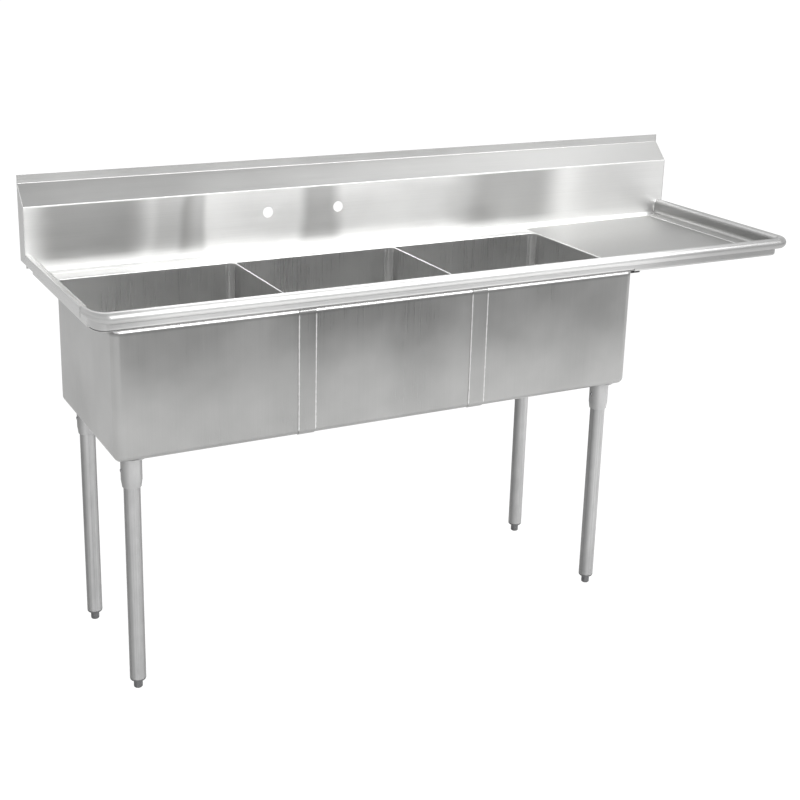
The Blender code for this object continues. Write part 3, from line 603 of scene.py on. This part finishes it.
def build_backsplash():
    lip = BACK - SHEET
    cove = arc((FACE_Y - COVE, DECK + COVE), COVE, -90.0, 0.0, 14)
    upper = rounded_path(
        [cove[-1], (FACE_Y, SLOPE_LOW), (lip, SLOPE_HIGH), (lip, TOP)], 0.0032, 7)
    foot = (panel_low.y, DECK)
    path = [foot] + cove[:-1] + upper
    other = offset_path(path, SHEET)
    stations = []
    for x in (panel_low.x, panel_high.x):
        stations.append(([(x, p[0], p[1]) for p in path], [(x, p[0], p[1]) for p in other]))
    vertices, faces = sheet_solid(stations)
    made = piece("backsplash_skin", vertices, faces, SPLASH, ["backsplash_panel"])
    middle = (BODY_LEFT + BODY_RIGHT) / 2.0
    cutters = []
    for side in (-0.5, 0.5):
        x = middle + side * HOLE_GAP
        hole = arc((x, HOLE_Z), HOLE_R, 0.0, 360.0, 48)[:-1]
        ring = [[(u, y, z) for u, z in hole] for y in (FACE_Y - 0.01, FACE_Y + 0.01)]
        cutters.append(cutter_from(*ring_solid(ring, False)))
    z = (DECK - 0.01, DECK + COVE + SHEET)
    y = (panel_low.y - 0.01, BACK)
    cutters.append(cutter_from(*box_from((LEFT - 0.01, LEFT + LEFT_RIM), y, z)))
    cutters.append(cutter_from(*box_from((RIGHT - 2.0 * ROLL, RIGHT + 0.01), y, z)))
    cut(made, cutters)
    made.data.materials.append(SHEET_X)
    for polygon in made.data.polygons:
        if polygon.normal.y > 0.2:
            polygon.material_index = 1

    outline = [(FACE_Y, cap_low.z), (FACE_Y, SLOPE_LOW), (lip, SLOPE_HIGH), (lip, TOP), (BACK, TOP),
               (BACK, cap_low.z)]
    for side, x in (("left", (LEFT, LEFT + SHEET)), ("right", (RIGHT - SHEET, RIGHT))):
        rings = [[(h, p, q) for p, q in outline] for h in x]
        vertices, faces = ring_solid(rings, False)
        piece("splash_cap_" + side, vertices, faces, SHEET_Z, ["backsplash_end_cap_" + side])
    # ground welds where the panel meets its end caps
    for side, x in (("left", LEFT + 0.0007), ("right", RIGHT - 0.0007)):
        corner = [(x, FACE_Y + 0.0003, RIM_TOP), (x, FACE_Y + 0.0003, SLOPE_LOW), (x, lip, SLOPE_HIGH),
                  (x, lip, TOP - 0.001)]
        for k in range(3):
            bead("cap_weld_%s_%d" % (side, k), corner[k], corner[k + 1], 0.0010, 0.15)


# ---------------------------------------------------------------- ledge round the bowls
EDGE = 0.0026


def build_deck():
    x_left, x_right = deck_low.x, deck_high.x
    y_front, y_back = deck_low.y, deck_high.y
    outer = [(x_left, y_back)]
    for across, along in arc((0.0, 0.0), 1.0, 180.0, 270.0, 14):
        outer.append((WRAP_X + (WRAP_X - x_left) * across, WRAP_Y + (WRAP_Y - y_front) * along))
    outer += [(x_right, y_front), (x_right, y_back)]
    hole = []
    radius = CORNER_R + EDGE - SHEET
    back = BODY_BACK + EDGE - SHEET
    for k in range(3):
        x_a = BODY_LEFT + PITCH * k - (EDGE - SHEET if k == 0 else 0.0)
        x_b = BODY_LEFT + PITCH * (k + 1) + (EDGE - SHEET if k == 2 else 0.0)
        first = 180.0 if k == 0 else 176.0
        last = 0.0 if k == 2 else 4.0
        hole += arc((x_a + radius, back - radius), radius, first, 90.0, 12)
        hole += arc((x_b - radius, back - radius), radius, 90.0, last, 12)
    front = BODY_FRONT + 0.0040
    hole += [(BODY_RIGHT + EDGE - SHEET, front), (BODY_LEFT - EDGE + SHEET, front)]
    work = bmesh.new()
    edges = []
    for loop in (outer, hole):
        made = [work.verts.new((x, y, DECK)) for x, y in loop]
        for i, vertex in enumerate(made):
            edges.append(work.edges.new((vertex, made[(i + 1) % len(made)])))
    bmesh.ops.triangle_fill(work, edges=edges, use_beauty=True, use_dissolve=False)
    vertices, faces = thickened(work)
    piece("deck_sheet", vertices, faces, SHEET_X, ["deck_frame"])


# ---------------------------------------------------------------- rims
def roll_profile(radius, bottom, tuck, steps=26):
    """Rolled rim as (outward, z) points on its top side, riser outer face at 0."""
    path = []
    if tuck > 0.0:
        path += arc((-SHEET - tuck, bottom + tuck), tuck, -80.0, 0.0, 8)
    else:
        path.append((-SHEET, bottom))
    for u, z in arc((-radius, RIM_TOP - radius), radius, 0.0, 240.0, steps):
        path.append((-u - SHEET, z))
    return path


def sweep(name, stations, look, replaces):
    rows = []
    for origin, outward, profile in stations:
        other = offset_path(profile, SHEET)
        pair = []
        for side in (profile, other):
            pair.append([(origin[0] + outward[0] * u, origin[1] + outward[1] * u, z) for u, z in side])
        rows.append(tuple(pair))
    vertices, faces = sheet_solid(rows)
    return piece(name, vertices, faces, look, replaces)


def build_rims():
    riser_y = FRONT + 2.0 * ROLL - SHEET
    riser_x = LEFT + LEFT_RIM - SHEET
    turned_down = rounded_path(
        [(-SHEET, DECK - SHEET), (-SHEET, RIM_TOP), (riser_x - LEFT, RIM_TOP),
         (riser_x - LEFT, RIM_TOP - 0.024)], 0.0032, 8)
    stations = [((riser_x, y), (-1.0, 0.0), turned_down) for y in (rim_l_high.y, rim_l_low.y)]
    sweep("left_rim_skin", stations, RIM_METAL_Y, ["rim_left"])

    stations = []
    steps = 28
    for i in range(steps + 1):
        share = i / steps
        angle = math.radians(180.0 + 90.0 * share)
        run_x = WRAP_X - riser_x
        run_y = WRAP_Y - riser_y
        origin = (WRAP_X + run_x * math.cos(angle), WRAP_Y + run_y * math.sin(angle))
        outward = Vector((math.cos(angle) / run_x, math.sin(angle) / run_y)).normalized()
        swell = share * share
        width = (LEFT_RIM / 2.0) * (1.0 - swell) + ROLL * swell
        stations.append((origin, outward, roll_profile(width, DECK + SHEET, 0.005)))
    stations.append(((rim_f_high.x, riser_y), (0.0, -1.0), roll_profile(ROLL, DECK + SHEET, 0.005)))
    sweep("front_rim_skin", stations, RIM_METAL, ["rim_front"])

    riser_right = RIGHT - 2.0 * ROLL + SHEET
    inner = OUTER_R - 2.0 * ROLL + SHEET
    low = roll_profile(ROLL, DECK - SHEET * 2.0, 0.005)
    stations = [((rim_d_low.x, riser_y), (0.0, -1.0), low)]
    for i in range(steps + 1):
        angle = math.radians(-90.0 + 90.0 * i / steps)
        outward = (math.cos(angle), math.sin(angle))
        origin = (riser_right - inner + inner * outward[0], riser_y + inner + inner * outward[1])
        stations.append((origin, outward, low))
    stations.append(((riser_right, rim_d_high.y), (1.0, 0.0), low))
    sweep("drainboard_rim_skin", stations, RIM_METAL, ["rim_drainboard"])


# ---------------------------------------------------------------- bowls
def shoulder_shift(z):
    rise = max(0.0, z - (DECK - SHOULDER_H))
    return SHOULDER_R - math.sqrt(SHOULDER_R ** 2 - rise ** 2)


def rounded_rectangle(x_a, x_b, y_a, y_b, radius, corner_steps, side_steps):
    centres = (
        (x_b - radius, y_a + radius, -90.0),
        (x_b - radius, y_b - radius, 0.0),
        (x_a + radius, y_b - radius, 90.0),
        (x_a + radius, y_a + radius, 180.0),
    )
    points = []
    for k, (cx, cy, start) in enumerate(centres):
        corner = arc((cx, cy), radius, start, start + 90.0, corner_steps)
        points.extend(corner)
        following = centres[(k + 1) % 4]
        target = arc((following[0], following[1]), radius, following[2], following[2], 1)[0]
        for i in range(1, side_steps):
            share = i / side_steps
            points.append((corner[-1][0] + (target[0] - corner[-1][0]) * share,
                           corner[-1][1] + (target[1] - corner[-1][1]) * share))
    return points


def build_bowl(side, x_a, x_b):
    corner_steps = 12
    side_steps = 4
    centre = ((x_a + x_b) / 2.0, (BODY_FRONT + BODY_BACK) / 2.0)

    def level_ring(inset, z, lean):
        radius = max(CORNER_R - inset, 0.003)
        flat = rounded_rectangle(x_a + inset, x_b - inset, BODY_FRONT + inset, BODY_BACK - inset,
                                 radius, corner_steps, side_steps)
        ring = []
        for x, y in flat:
            share = min(1.0, max(0.0, (BODY_FRONT + CORNER_R - y) / CORNER_R))
            ring.append((x, y + lean * share, z))
        return ring

    def round_ring(radius, z):
        count = 4 * (corner_steps + side_steps)
        start = math.radians(-45.0) - math.pi * corner_steps / count
        return [(centre[0] + radius * math.cos(start + 2.0 * math.pi * i / count),
                 centre[1] + radius * math.sin(start + 2.0 * math.pi * i / count), z) for i in range(count)]

    def surface(inset, floor, inside):
        rings = []
        if inside:
            # rolled-over mouth that meets the ledge
            for k in range(7):
                angle = math.radians(90.0 - 15.0 * k)
                out = EDGE * (1.0 - math.cos(angle))
                z = DECK - EDGE + EDGE * math.sin(angle)
                rings.append(level_ring(inset - out, z, shoulder_shift(z) * 0.9))
        else:
            rings.append(level_ring(SHEET - EDGE + 0.0006, DECK - SHEET, shoulder_shift(DECK - SHEET)))
        for k in range(1 if inside else 0, 9):
            z = DECK - SHEET * 1.2 - (SHOULDER_H - SHEET * 1.2) * k / 8.0
            rings.append(level_ring(inset, z, shoulder_shift(z)))
        cove = BOTTOM_R - inset
        for k in range(13):
            angle = math.radians(7.5 * k)
            step = cove * (1.0 - math.cos(angle))
            rings.append(level_ring(inset + step, floor + cove * (1.0 - math.sin(angle)), 0.0))
        rings.append(level_ring(0.090, floor - FALL * 0.35, 0.0))
        rings.append(round_ring(RECESS_R + 0.030 + inset, floor - FALL * 0.75))
        rings.append(round_ring(RECESS_R + 0.0050 + inset, floor - FALL))
        rings.append(round_ring(RECESS_R + 0.0035 + inset, floor - FALL - 0.0006))
        rings.append(round_ring(RECESS_R + 0.0010 + inset, floor - FALL - RECESS_D + 0.0006))
        rings.append(round_ring(RECESS_R - 0.0010 + inset, floor - FALL - RECESS_D))
        rings.append(round_ring(DRAIN_R, floor - FALL - RECESS_D))
        return rings

    outer = surface(0.0, BOWL_FLOOR, False)
    inner = surface(SHEET, BOWL_FLOOR + SHEET, True)
    vertices, faces = ring_solid(outer + inner[::-1], True)
    made = piece("bowl_skin_" + side, vertices, faces, BOWL_OUT, ["bowl_" + side], sharp=50.0)
    made.data.materials.append(BOWL_IN)
    for polygon in made.data.polygons:
        away = polygon.center - Vector((centre[0], centre[1], polygon.center.z))
        if polygon.normal.z > 0.3 or polygon.normal.dot(away) < 0.0:
            polygon.material_index = 1


def build_strip(name, front):
    low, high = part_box("seam_strip_" + name)
    sign = 1.0 if front else -1.0
    # flat strip standing proud of the bowls, its edges welded and ground
    proud = (BODY_FRONT if front else BODY_BACK) - sign * STRIP_GAP
    radius = BOTTOM_R + STRIP_GAP
    path = []
    for k in range(9):
        z = DECK - SHEET * 1.3 - (SHOULDER_H - SHEET * 1.3) * k / 8.0
        path.append((proud + (shoulder_shift(z) if front else 0.0), z))
    path.append((proud, BOWL_FLOOR + BOTTOM_R))
    centre = (proud + sign * radius, BOWL_FLOOR + BOTTOM_R)
    for k in range(1, 13):
        angle = math.radians(5.8 * k)
        path.append((centre[0] - sign * radius * math.cos(angle), centre[1] - radius * math.sin(angle)))
    edge = 0.0008
    stations = []
    for x, thin in ((low.x, 0.35), (low.x + edge, 1.0), (high.x - edge, 1.0), (high.x, 0.35)):
        mid = offset_path(path, sign * SHEET * thin)
        stations.append(([(x, p[0], p[1]) for p in path], [(x, p[0], p[1]) for p in mid]))
    vertices, faces = sheet_solid(stations)
    piece("strip_" + name, vertices, faces, BOWL_OUT, ["seam_strip_" + name])
    for tag, x in (("a", low.x), ("b", high.x)):
        seam = proud - sign * 0.0006
        bead("strip_weld_%s_%s" % (name, tag), (x, seam, DECK - SHOULDER_H - 0.001),
             (x, seam, BOWL_FLOOR + BOTTOM_R - 0.004), 0.0017, 0.25)


# ---------------------------------------------------------------- drainboard
def build_drainboard():
    x_a, x_b = pan_low.x, pan_high.x
    y_a, y_b = pan_low.y, pan_high.y
    rise = pan_high.z - DECK
    cove = 0.0120
    reach = 0.0320
    slope = math.radians(13.0)

    def level(x):
        return DECK + rise * (x - x_a) / (x_b - x_a)

    # cove against the riser, a narrow sloping band, then the crease into the flat
    profile = [(cove - cove * cosine(a), cove - cove * sine(a))
               for a in (0.0, 12.0, 24.0, 36.0, 48.0, 60.0, 72.0, 84.0)]
    drop = (reach - profile[-1][0]) * math.tan(slope)
    profile = [(u, lift + drop) for u, lift in profile]
    profile += [(reach - 0.0010, 0.0010 * math.tan(slope)), (reach - 0.0003, 0.00003), (reach + 0.0010, 0.0)]
    width = profile[-1][0]
    corner = OUTER_R - 2.0 * ROLL
    stations = [((x_a, y_a), (0.0, 1.0))]
    for i in range(15):
        angle = math.radians(-90.0 + 90.0 * i / 14.0)
        away = (math.cos(angle), math.sin(angle))
        origin = (x_b - corner + corner * away[0], y_a + corner + corner * away[1])
        stations.append((origin, (-away[0], -away[1])))
    stations.append(((x_b, y_b), (-1.0, 0.0)))
    work = bmesh.new()
    grid = []
    last = len(stations) - 1
    for s, ((x, y), inward) in enumerate(stations):
        row = []
        for u, lift in profile:
            px, py = x + inward[0] * u, y + inward[1] * u
            if 0 < s < last:
                share = (u / width) ** 3
                px += (x_b - width - x - inward[0] * width) * share
                py += (y_a + width - y - inward[1] * width) * share
            row.append(work.verts.new((px, py, level(px) + lift)))
        grid.append(row)
    for s in range(last):
        for i in range(len(profile) - 1):
            work.faces.new((grid[s][i], grid[s + 1][i], grid[s + 1][i + 1], grid[s][i + 1]))
    back = work.verts.new((x_a, y_b, level(x_a)))
    work.faces.new([grid[0][-1], grid[1][-1], grid[-1][-1], back])
    bmesh.ops.remove_doubles(work, verts=work.verts, dist=1e-6)
    bmesh.ops.recalc_face_normals(work, faces=work.faces)
    vertices, faces = thickened(work)
    piece("pan_sheet", vertices, faces, SHEET_PAN, ["drainboard_pan"], sharp=40.0)
    # welds where the right rim meets the backsplash
    edge_x = RIGHT - 2.0 * ROLL
    spots = [(edge_x - 0.0012, FACE_Y - 0.0030, DECK + 0.011),
             (edge_x - 0.0006, FACE_Y - 0.0018, RIM_TOP - 0.014),
             (edge_x + 0.0050, FACE_Y - 0.0014, RIM_TOP - 0.002)]
    bead("rim_weld_right_0", spots[0], spots[1], 0.0030, 0.2)
    bead("rim_weld_right_1", spots[1], spots[2], 0.0028, 0.2)
    # a bright bar of weld metal along the crease, a painted highlight of the fold
    bead("pan_crease_painted_highlight", (x_b - reach, y_a + reach + 0.004, level(x_b - reach) - 0.0006),
         (x_b - reach, y_b - 0.004, level(x_b - reach) - 0.0006), 0.0013, 0.05)
    bead("rim_weld_right_2", (edge_x - 0.012, FACE_Y - 0.016, DECK + 0.0040),
         (edge_x - 0.026, FACE_Y - 0.058, DECK + 0.0038), 0.0009, 0.2)


# ---------------------------------------------------------------- legs
def build_leg(corner):
    s_low, s_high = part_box("leg_socket_" + corner)
    t_low, t_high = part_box("leg_tube_" + corner)
    i_low, i_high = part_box("foot_insert_" + corner)
    f_low, f_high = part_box("bullet_foot_" + corner)
    x = (s_low.x + s_high.x) / 2.0
    y = (s_low.y + s_high.y) / 2.0
    r = (t_high.x - t_low.x) / 2.0
    bore = r + 0.0003
    wide = SLEEVE_R
    top = s_high.z
    bottom = s_low.z
    flange = SLEEVE_FLANGE
    centre = (x, y, 0.0)
    lip = arc((bore + 0.0016, bottom + 0.0010), 0.0010, -90.0, -10.0, 4)
    profile = [(bore, top - flange), (bore, bottom + 0.0004), (bore + 0.0006, bottom)] + lip
    profile += [(wide - 0.0006, bottom + 0.0145), (wide, bottom + 0.0165), (wide, top - flange - 0.004)]
    profile += [(wide + 0.004 - 0.004 * cosine(a),
                 top - flange - 0.004 + 0.004 * sine(a)) for a in (22.5, 45.0, 67.5, 90.0)]
    profile += [(0.0355, top - flange), (0.036, top - flange * 0.6), (0.036, top), (bore - 0.006, top),
                (bore - 0.006, top - flange)]
    socket = turned_piece("sleeve_" + corner, profile, centre, SOCKET_METAL, ["leg_socket_" + corner])
    screw_low, screw_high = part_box("set_screw_" + corner)
    z = (screw_low.z + screw_high.z) / 2.0
    hole = arc((y, z), SCREW_HOLE_R, 0.0, 360.0, 32)[:-1]
    ring = [[(h, u, v) for u, v in hole] for h in (x - wide - 0.006, x - bore + 0.001)]
    cut(socket, [cutter_from(*ring_solid(ring, False))])

    head = screw_low.x
    rings = []
    for radius, h, flat in ((0.0040, x - bore, False), (0.0040, head + 0.0005, False), (0.0036, head, False),
                            (0.0022, head, True), (0.0021, head + 0.0024, True)):
        row = []
        for i in range(36):
            angle = 2.0 * math.pi * i / 36
            sector = (angle % (math.pi / 3.0)) - math.pi / 6.0
            reach = radius / math.cos(sector) if flat else radius
            row.append((h, y + reach * math.cos(angle), z + reach * math.sin(angle)))
        rings.append(row)
    vertices, faces = ring_solid(rings, False)
    piece("screw_" + corner, vertices, faces, SCREW_METAL, ["set_screw_" + corner], sharp=40.0)

    inner = r - TUBE_WALL
    profile = [(r, t_low.z + 0.0004), (r, t_high.z), (inner, t_high.z), (inner, t_low.z),
               (r - 0.0004, t_low.z)]
    turned_piece("pipe_" + corner, profile, centre, TUBE_METAL, ["leg_tube_" + corner])

    bottom = i_low.z
    lip_top = t_low.z - 0.0003
    curve = [(0.0134 + (r - 0.0134) * sine(a),
              lip_top - (lip_top - bottom) * cosine(a)) for a in (0.0, 15.0, 30.0, 45.0, 60.0, 75.0, 90.0)]
    profile = [(0.0063, bottom)] + curve
    profile += [(inner - 0.0003, lip_top), (inner - 0.0003, i_high.z), (0.0063, i_high.z)]
    turned_piece("insert_" + corner, profile, centre, FOOT_METAL, ["foot_insert_" + corner])

    shoulder = f_low.z + STUB_HEIGHT
    profile = [(0.0070, f_low.z)]
    profile += [(0.0072 + 0.0033 * sine(a), f_low.z + 0.0033 * (1.0 - cosine(a)))
                for a in (30, 60, 90)]
    profile += [(STUB_R, shoulder - 0.0006), (STUB_R - 0.0006, shoulder), (0.0060, shoulder)]
    profile += threads(shoulder, f_high.z - 0.002, 0.0052, 0.0060, STEM_PITCH, 0.0010)
    profile += [(0.0052, f_high.z - 0.0004), (0.0046, f_high.z)]
    turned_piece("foot_" + corner, profile, centre, FOOT_METAL, ["bullet_foot_" + corner], closed=False,
                 steps=40, body="foot_" + corner)


# ---------------------------------------------------------------- drains
def build_drain(side):
    low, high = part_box("drain_body_" + side)
    x = (low.x + high.x) / 2.0
    y = (low.y + high.y) / 2.0
    seat = high.z - 0.0016
    wide, cup, tail, wall = FLANGE_R, CUP_R, TAIL_R, DRAIN_WALL
    cup_z = seat - CUP_DEPTH
    centre = (x, y, 0.0)
    profile = [(wide, seat), (wide - 0.0002, seat + 0.0006), (wide - 0.004, seat + 0.0016),
               (cup + 0.001, seat + 0.0016)]
    profile += [(cup - wall + 0.0025 - 0.0025 * sine(a),
                 seat + 0.0016 - 0.0025 * (1.0 - cosine(a))) for a in (0.0, 22.5, 45.0, 67.5, 90.0)]
    profile += [(cup - wall, cup_z + wall + 0.003), (cup - wall - 0.003, cup_z + wall),
                (tail - wall + 0.001, cup_z + wall), (tail - wall, cup_z + wall - 0.001),
                (tail - wall, low.z)]
    profile.append((tail - 0.0004, low.z))
    profile += threads(low.z, low.z + 0.019, tail - 0.0009, tail, THREAD_PITCH, 0.0011)
    profile += [(tail, cup_z - 0.002), (tail + 0.002, cup_z), (cup - 0.003, cup_z), (cup, cup_z + 0.003)]
    profile += threads(cup_z + 0.004, seat - 0.006, cup - 0.0008, cup, THREAD_PITCH, 0.0011)
    profile.append((cup, seat))
    turned_piece("strainer_" + side, profile, centre, STRAINER, ["drain_body_" + side], steps=72)

    g_low, g_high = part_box("drain_gasket_" + side)
    bore = cup + 0.0003
    outer = (g_high.x - g_low.x) / 2.0
    profile = [(bore, g_high.z), (outer - 0.0006, g_high.z), (outer, g_high.z - 0.0006),
               (outer, g_low.z + 0.0006), (outer - 0.0006, g_low.z), (bore, g_low.z)]
    turned_piece("washer_" + side, profile, centre, RUBBER_BLACK, ["drain_gasket_" + side], steps=72,
                 sharp=32.0)

    n_low, n_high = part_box("drain_locknut_" + side)
    rings = []
    ring_r = bore + 0.009
    for radius, lug, z in ((bore, 0.0, n_high.z), (ring_r - 0.0006, 0.003, n_high.z),
                           (ring_r, 0.003, n_high.z - 0.0008), (ring_r, 0.003, n_low.z + 0.0008),
                           (ring_r - 0.0006, 0.003, n_low.z), (bore, 0.0, n_low.z)):
        row = []
        for i in range(96):
            angle = 2.0 * math.pi * i / 96
            swell = lug * max(0.0, math.cos(6.0 * angle)) ** 4
            row.append((x + (radius + swell) * math.cos(angle), y + (radius + swell) * math.sin(angle), z))
        rings.append(row)
    vertices, faces = ring_solid(rings, True)
    piece("nut_" + side, vertices, faces, SCREW_METAL, ["drain_locknut_" + side], sharp=40.0)

    b_low, b_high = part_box("drain_basket_" + side)
    floor = b_low.z
    rim = b_high.z - 0.0012
    r = (b_high.x - b_low.x) / 2.0
    wall = BASKET_WALL
    inside = [(r, rim), (r, rim + 0.0008), (r - 0.0006, rim + 0.0012), (r - 0.0036, rim + 0.0012),
              (r - 0.0044, rim), (0.0318, floor + 0.0075)]
    inside += [(0.0258 + 0.006 * cosine(a),
                floor + wall + 0.0065 - 0.0055 * sine(a)) for a in (22.5, 45.0, 67.5, 90.0)]
    inside += [(0.0080, floor + wall), (0.0045, floor + 0.0035), (0.0035, floor + 0.006),
               (0.0035, rim - 0.002), (0.0068, rim - 0.0004), (0.0072, rim + 0.002),
               (0.0066, seat - 0.0012), (0.0050, seat - 0.0002), (0.0020, seat)]
    outside = [(0.0020, floor), (0.0258, floor)]
    outside += [(0.0258 + 0.0070 * sine(a), floor + 0.0066 * (1.0 - cosine(a)))
                for a in (30.0, 60.0, 90.0)]
    outside += [(r - 0.0030, rim)]
    basket = turned_piece("basket_" + side, inside[::-1] + outside[::-1], centre, STRAINER,
                          ["drain_basket_" + side, "basket_plate_" + side, "basket_knob_" + side],
                          closed=False, body="basket_" + side)
    cutters = []
    for ring_radius, count, size in ((0.0125, 8, 0.0021), (0.0185, 14, 0.0021), (0.0240, 18, 0.0019)):
        for k in range(count):
            angle = 2.0 * math.pi * (k + 0.5) / count
            spot = (x + ring_radius * math.cos(angle), y + ring_radius * math.sin(angle), floor)
            cutters.append(cutter_from(*turned([(size, -0.003), (size, 0.004)], False, spot, 12)))
    joined = bpy.data.meshes.new("holes")
    work = bmesh.new()
    for cutter in cutters:
        work.from_mesh(cutter.data)
        bpy.data.objects.remove(cutter)
    work.to_mesh(joined)
    work.free()
    cut(basket, [placed("cutter", joined)])


build_backsplash()
build_deck()
build_rims()
for number, side in enumerate(("left", "middle", "right")):
    low, high = bowl_boxes[number]
    build_bowl(side, low.x, high.x)
    build_drain(side)
for number in (1, 2):
    seam = BODY_LEFT + PITCH * number
    bead("divider_weld_%d" % number, (seam, BODY_FRONT + 0.010, DECK - 0.0009),
         (seam, BODY_BACK - 0.010, DECK - 0.0009), 0.0021, 0.12)
for number in range(3):
    # bright bars of weld metal in the back right corner of each bowl, a painted highlight of the coved corner
    low, high = bowl_boxes[number]
    for k, (dx, dy) in enumerate(((CORNER_R, SHEET + 0.0003), (SHEET + 0.0024, CORNER_R * 0.75))):
        x, y = high.x - dx, high.y - dy
        bead("corner_seam_%d_%d" % (number, k), (x, y, DECK - 0.006), (x, y, BOWL_FLOOR + BOTTOM_R + 0.002),
             0.0019 - 0.0004 * k, 0.1)
for name in ("front_left", "front_right"):
    build_strip(name, True)
for name in ("rear_left", "rear_right"):
    build_strip(name, False)
build_drainboard()
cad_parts["drainboard_channel"].data.materials.clear()
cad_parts["drainboard_channel"].data.materials.append(SHEET_Y)
for corner in ("front_left", "front_right", "rear_left", "rear_right"):
    build_leg(corner)


# ---------------------------------------------------------------- studio
def build_floor():
    mesh = bpy.data.meshes.new("studio_floor")
    corners = [(-1, -1), (1, -1), (1, 1), (-1, 1)]
    mesh.from_pydata([(x * FLOOR_SIZE, y * FLOOR_SIZE, 0.0) for x, y in corners], [], [(0, 1, 2, 3)])
    floor = placed("studio_floor", mesh)
    floor.location.z = cad_low.z - 0.0002
    floor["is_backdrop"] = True
    made, nodes, links, shader = principled("studio_floor")
    shader.inputs["Roughness"].default_value = 0.9
    shader.inputs["Specular IOR Level"].default_value = 0.1
    # the camera sees pale paper; reflections see it dimmer in front of the sink and behind it
    squeeze = nodes.new("ShaderNodeMapping")
    squeeze.inputs["Scale"].default_value = (FLOOR_SQUEEZE, 1.0, 1.0)
    links.new(nodes.new("ShaderNodeTexCoord").outputs["Object"], squeeze.inputs["Vector"])

    def away_from(spot):
        apart = nodes.new("ShaderNodeVectorMath")
        apart.operation = "DISTANCE"
        apart.inputs[1].default_value = spot
        links.new(squeeze.outputs["Vector"], apart.inputs[0])
        return apart.outputs["Value"]

    fade = nodes.new("ShaderNodeValToRGB")
    links.new(maths(nodes, links, "DIVIDE", away_from(FLOOR_FRONT), FLOOR_REACH), fade.inputs["Fac"])
    fade.color_ramp.interpolation = "EASE"
    for stop, position, grey in zip(fade.color_ramp.elements, (0.22, 0.48), (0.15, 0.86)):
        stop.position = position
        stop.color = (grey, grey, grey, 1.0)
    pool = ranged(nodes, links, away_from(FLOOR_BEHIND), 0.75, 1.35, 0.45, 1.0)
    dimmed = nodes.new("ShaderNodeVectorMath")
    dimmed.operation = "SCALE"
    links.new(fade.outputs["Color"], dimmed.inputs[0])
    links.new(pool, dimmed.inputs["Scale"])
    links.new(dimmed.outputs["Vector"], shader.inputs["Base Color"])
    glow = nodes.new("ShaderNodeEmission")
    glow.inputs["Color"].default_value = (1.0, 1.0, 1.0, 1.0)
    glow.inputs["Strength"].default_value = FLOOR_GLOW
    seen = nodes.new("ShaderNodeLightPath").outputs["Is Camera Ray"]
    mix = nodes.new("ShaderNodeMixShader")
    links.new(maths(nodes, links, "MULTIPLY", seen, FLOOR_SHARE), mix.inputs["Fac"])
    links.new(shader.outputs["BSDF"], mix.inputs[1])
    links.new(glow.outputs["Emission"], mix.inputs[2])
    links.new(mix.outputs["Shader"], nodes["Material Output"].inputs["Surface"])
    mesh.materials.append(made)


def build_world():
    world = bpy.data.worlds.new("studio")
    bpy.context.scene.world = world
    world.use_nodes = True
    nodes, links = world.node_tree.nodes, world.node_tree.links
    background = nodes["Background"]
    ramp = nodes.new("ShaderNodeValToRGB")
    upward = along(nodes, links, nodes.new("ShaderNodeTexCoord").outputs["Generated"], "Z")
    links.new(ranged(nodes, links, upward, -1.0, 1.0, 0.0, 1.0), ramp.inputs["Fac"])
    for stop, position, grey in zip(ramp.color_ramp.elements, (0.0, 1.0), (0.5, 0.75)):
        stop.position = position
        stop.color = (grey, grey, grey, 1.0)
    for position, grey in WORLD_STOPS:
        stop = ramp.color_ramp.elements.new(position)
        stop.color = (grey, grey, grey, 1.0)
    mix = nodes.new("ShaderNodeMix")
    mix.data_type = "RGBA"
    links.new(nodes.new("ShaderNodeLightPath").outputs["Is Camera Ray"], mix.inputs["Factor"])
    links.new(ramp.outputs["Color"], mix.inputs["A"])
    mix.inputs["B"].default_value = (WORLD_SEEN, WORLD_SEEN, WORLD_SEEN, 1.0)
    links.new(mix.outputs["Result"], background.inputs["Color"])
    background.inputs["Strength"].default_value = 1.0


def build_lamps():
    for name, place, target, size, power in LAMPS:
        light = bpy.data.lights.new(name, "AREA")
        light.shape = "RECTANGLE"
        light.size, light.size_y = size
        light.energy = power
        lamp = placed(name, light)
        lamp.location = place
        lamp.rotation_euler = (Vector(target) - Vector(place)).to_track_quat("-Z", "Y").to_euler()
        lamp.visible_camera = False


build_floor()
build_world()
build_lamps()


# ---------------------------------------------------------------- camera
def build_camera():
    data = bpy.data.cameras.new("camera")
    camera = placed("camera", data)
    yaw, pitch, roll = (math.radians(a) for a in CAMERA_TURN)
    forward = Vector((-math.sin(yaw) * math.cos(pitch), math.cos(yaw) * math.cos(pitch), -math.sin(pitch)))
    right = Vector((math.cos(yaw), math.sin(yaw), 0.0))
    up = right.cross(forward)
    right_rolled = right * math.cos(roll) + up * math.sin(roll)
    up_rolled = up * math.cos(roll) - right * math.sin(roll)
    turn = Matrix((right_rolled, up_rolled, -forward)).transposed()
    camera.matrix_world = Matrix.Translation(CAMERA_PLACE) @ turn.to_4x4()
    data.sensor_width = 36.0
    data.lens = CAMERA_LENS
    data.shift_x, data.shift_y = CAMERA_SHIFT
    data.clip_end = 200.0
    bpy.context.scene.camera = camera


build_camera()
bpy.context.scene.view_settings.view_transform = "Standard"

low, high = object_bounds()
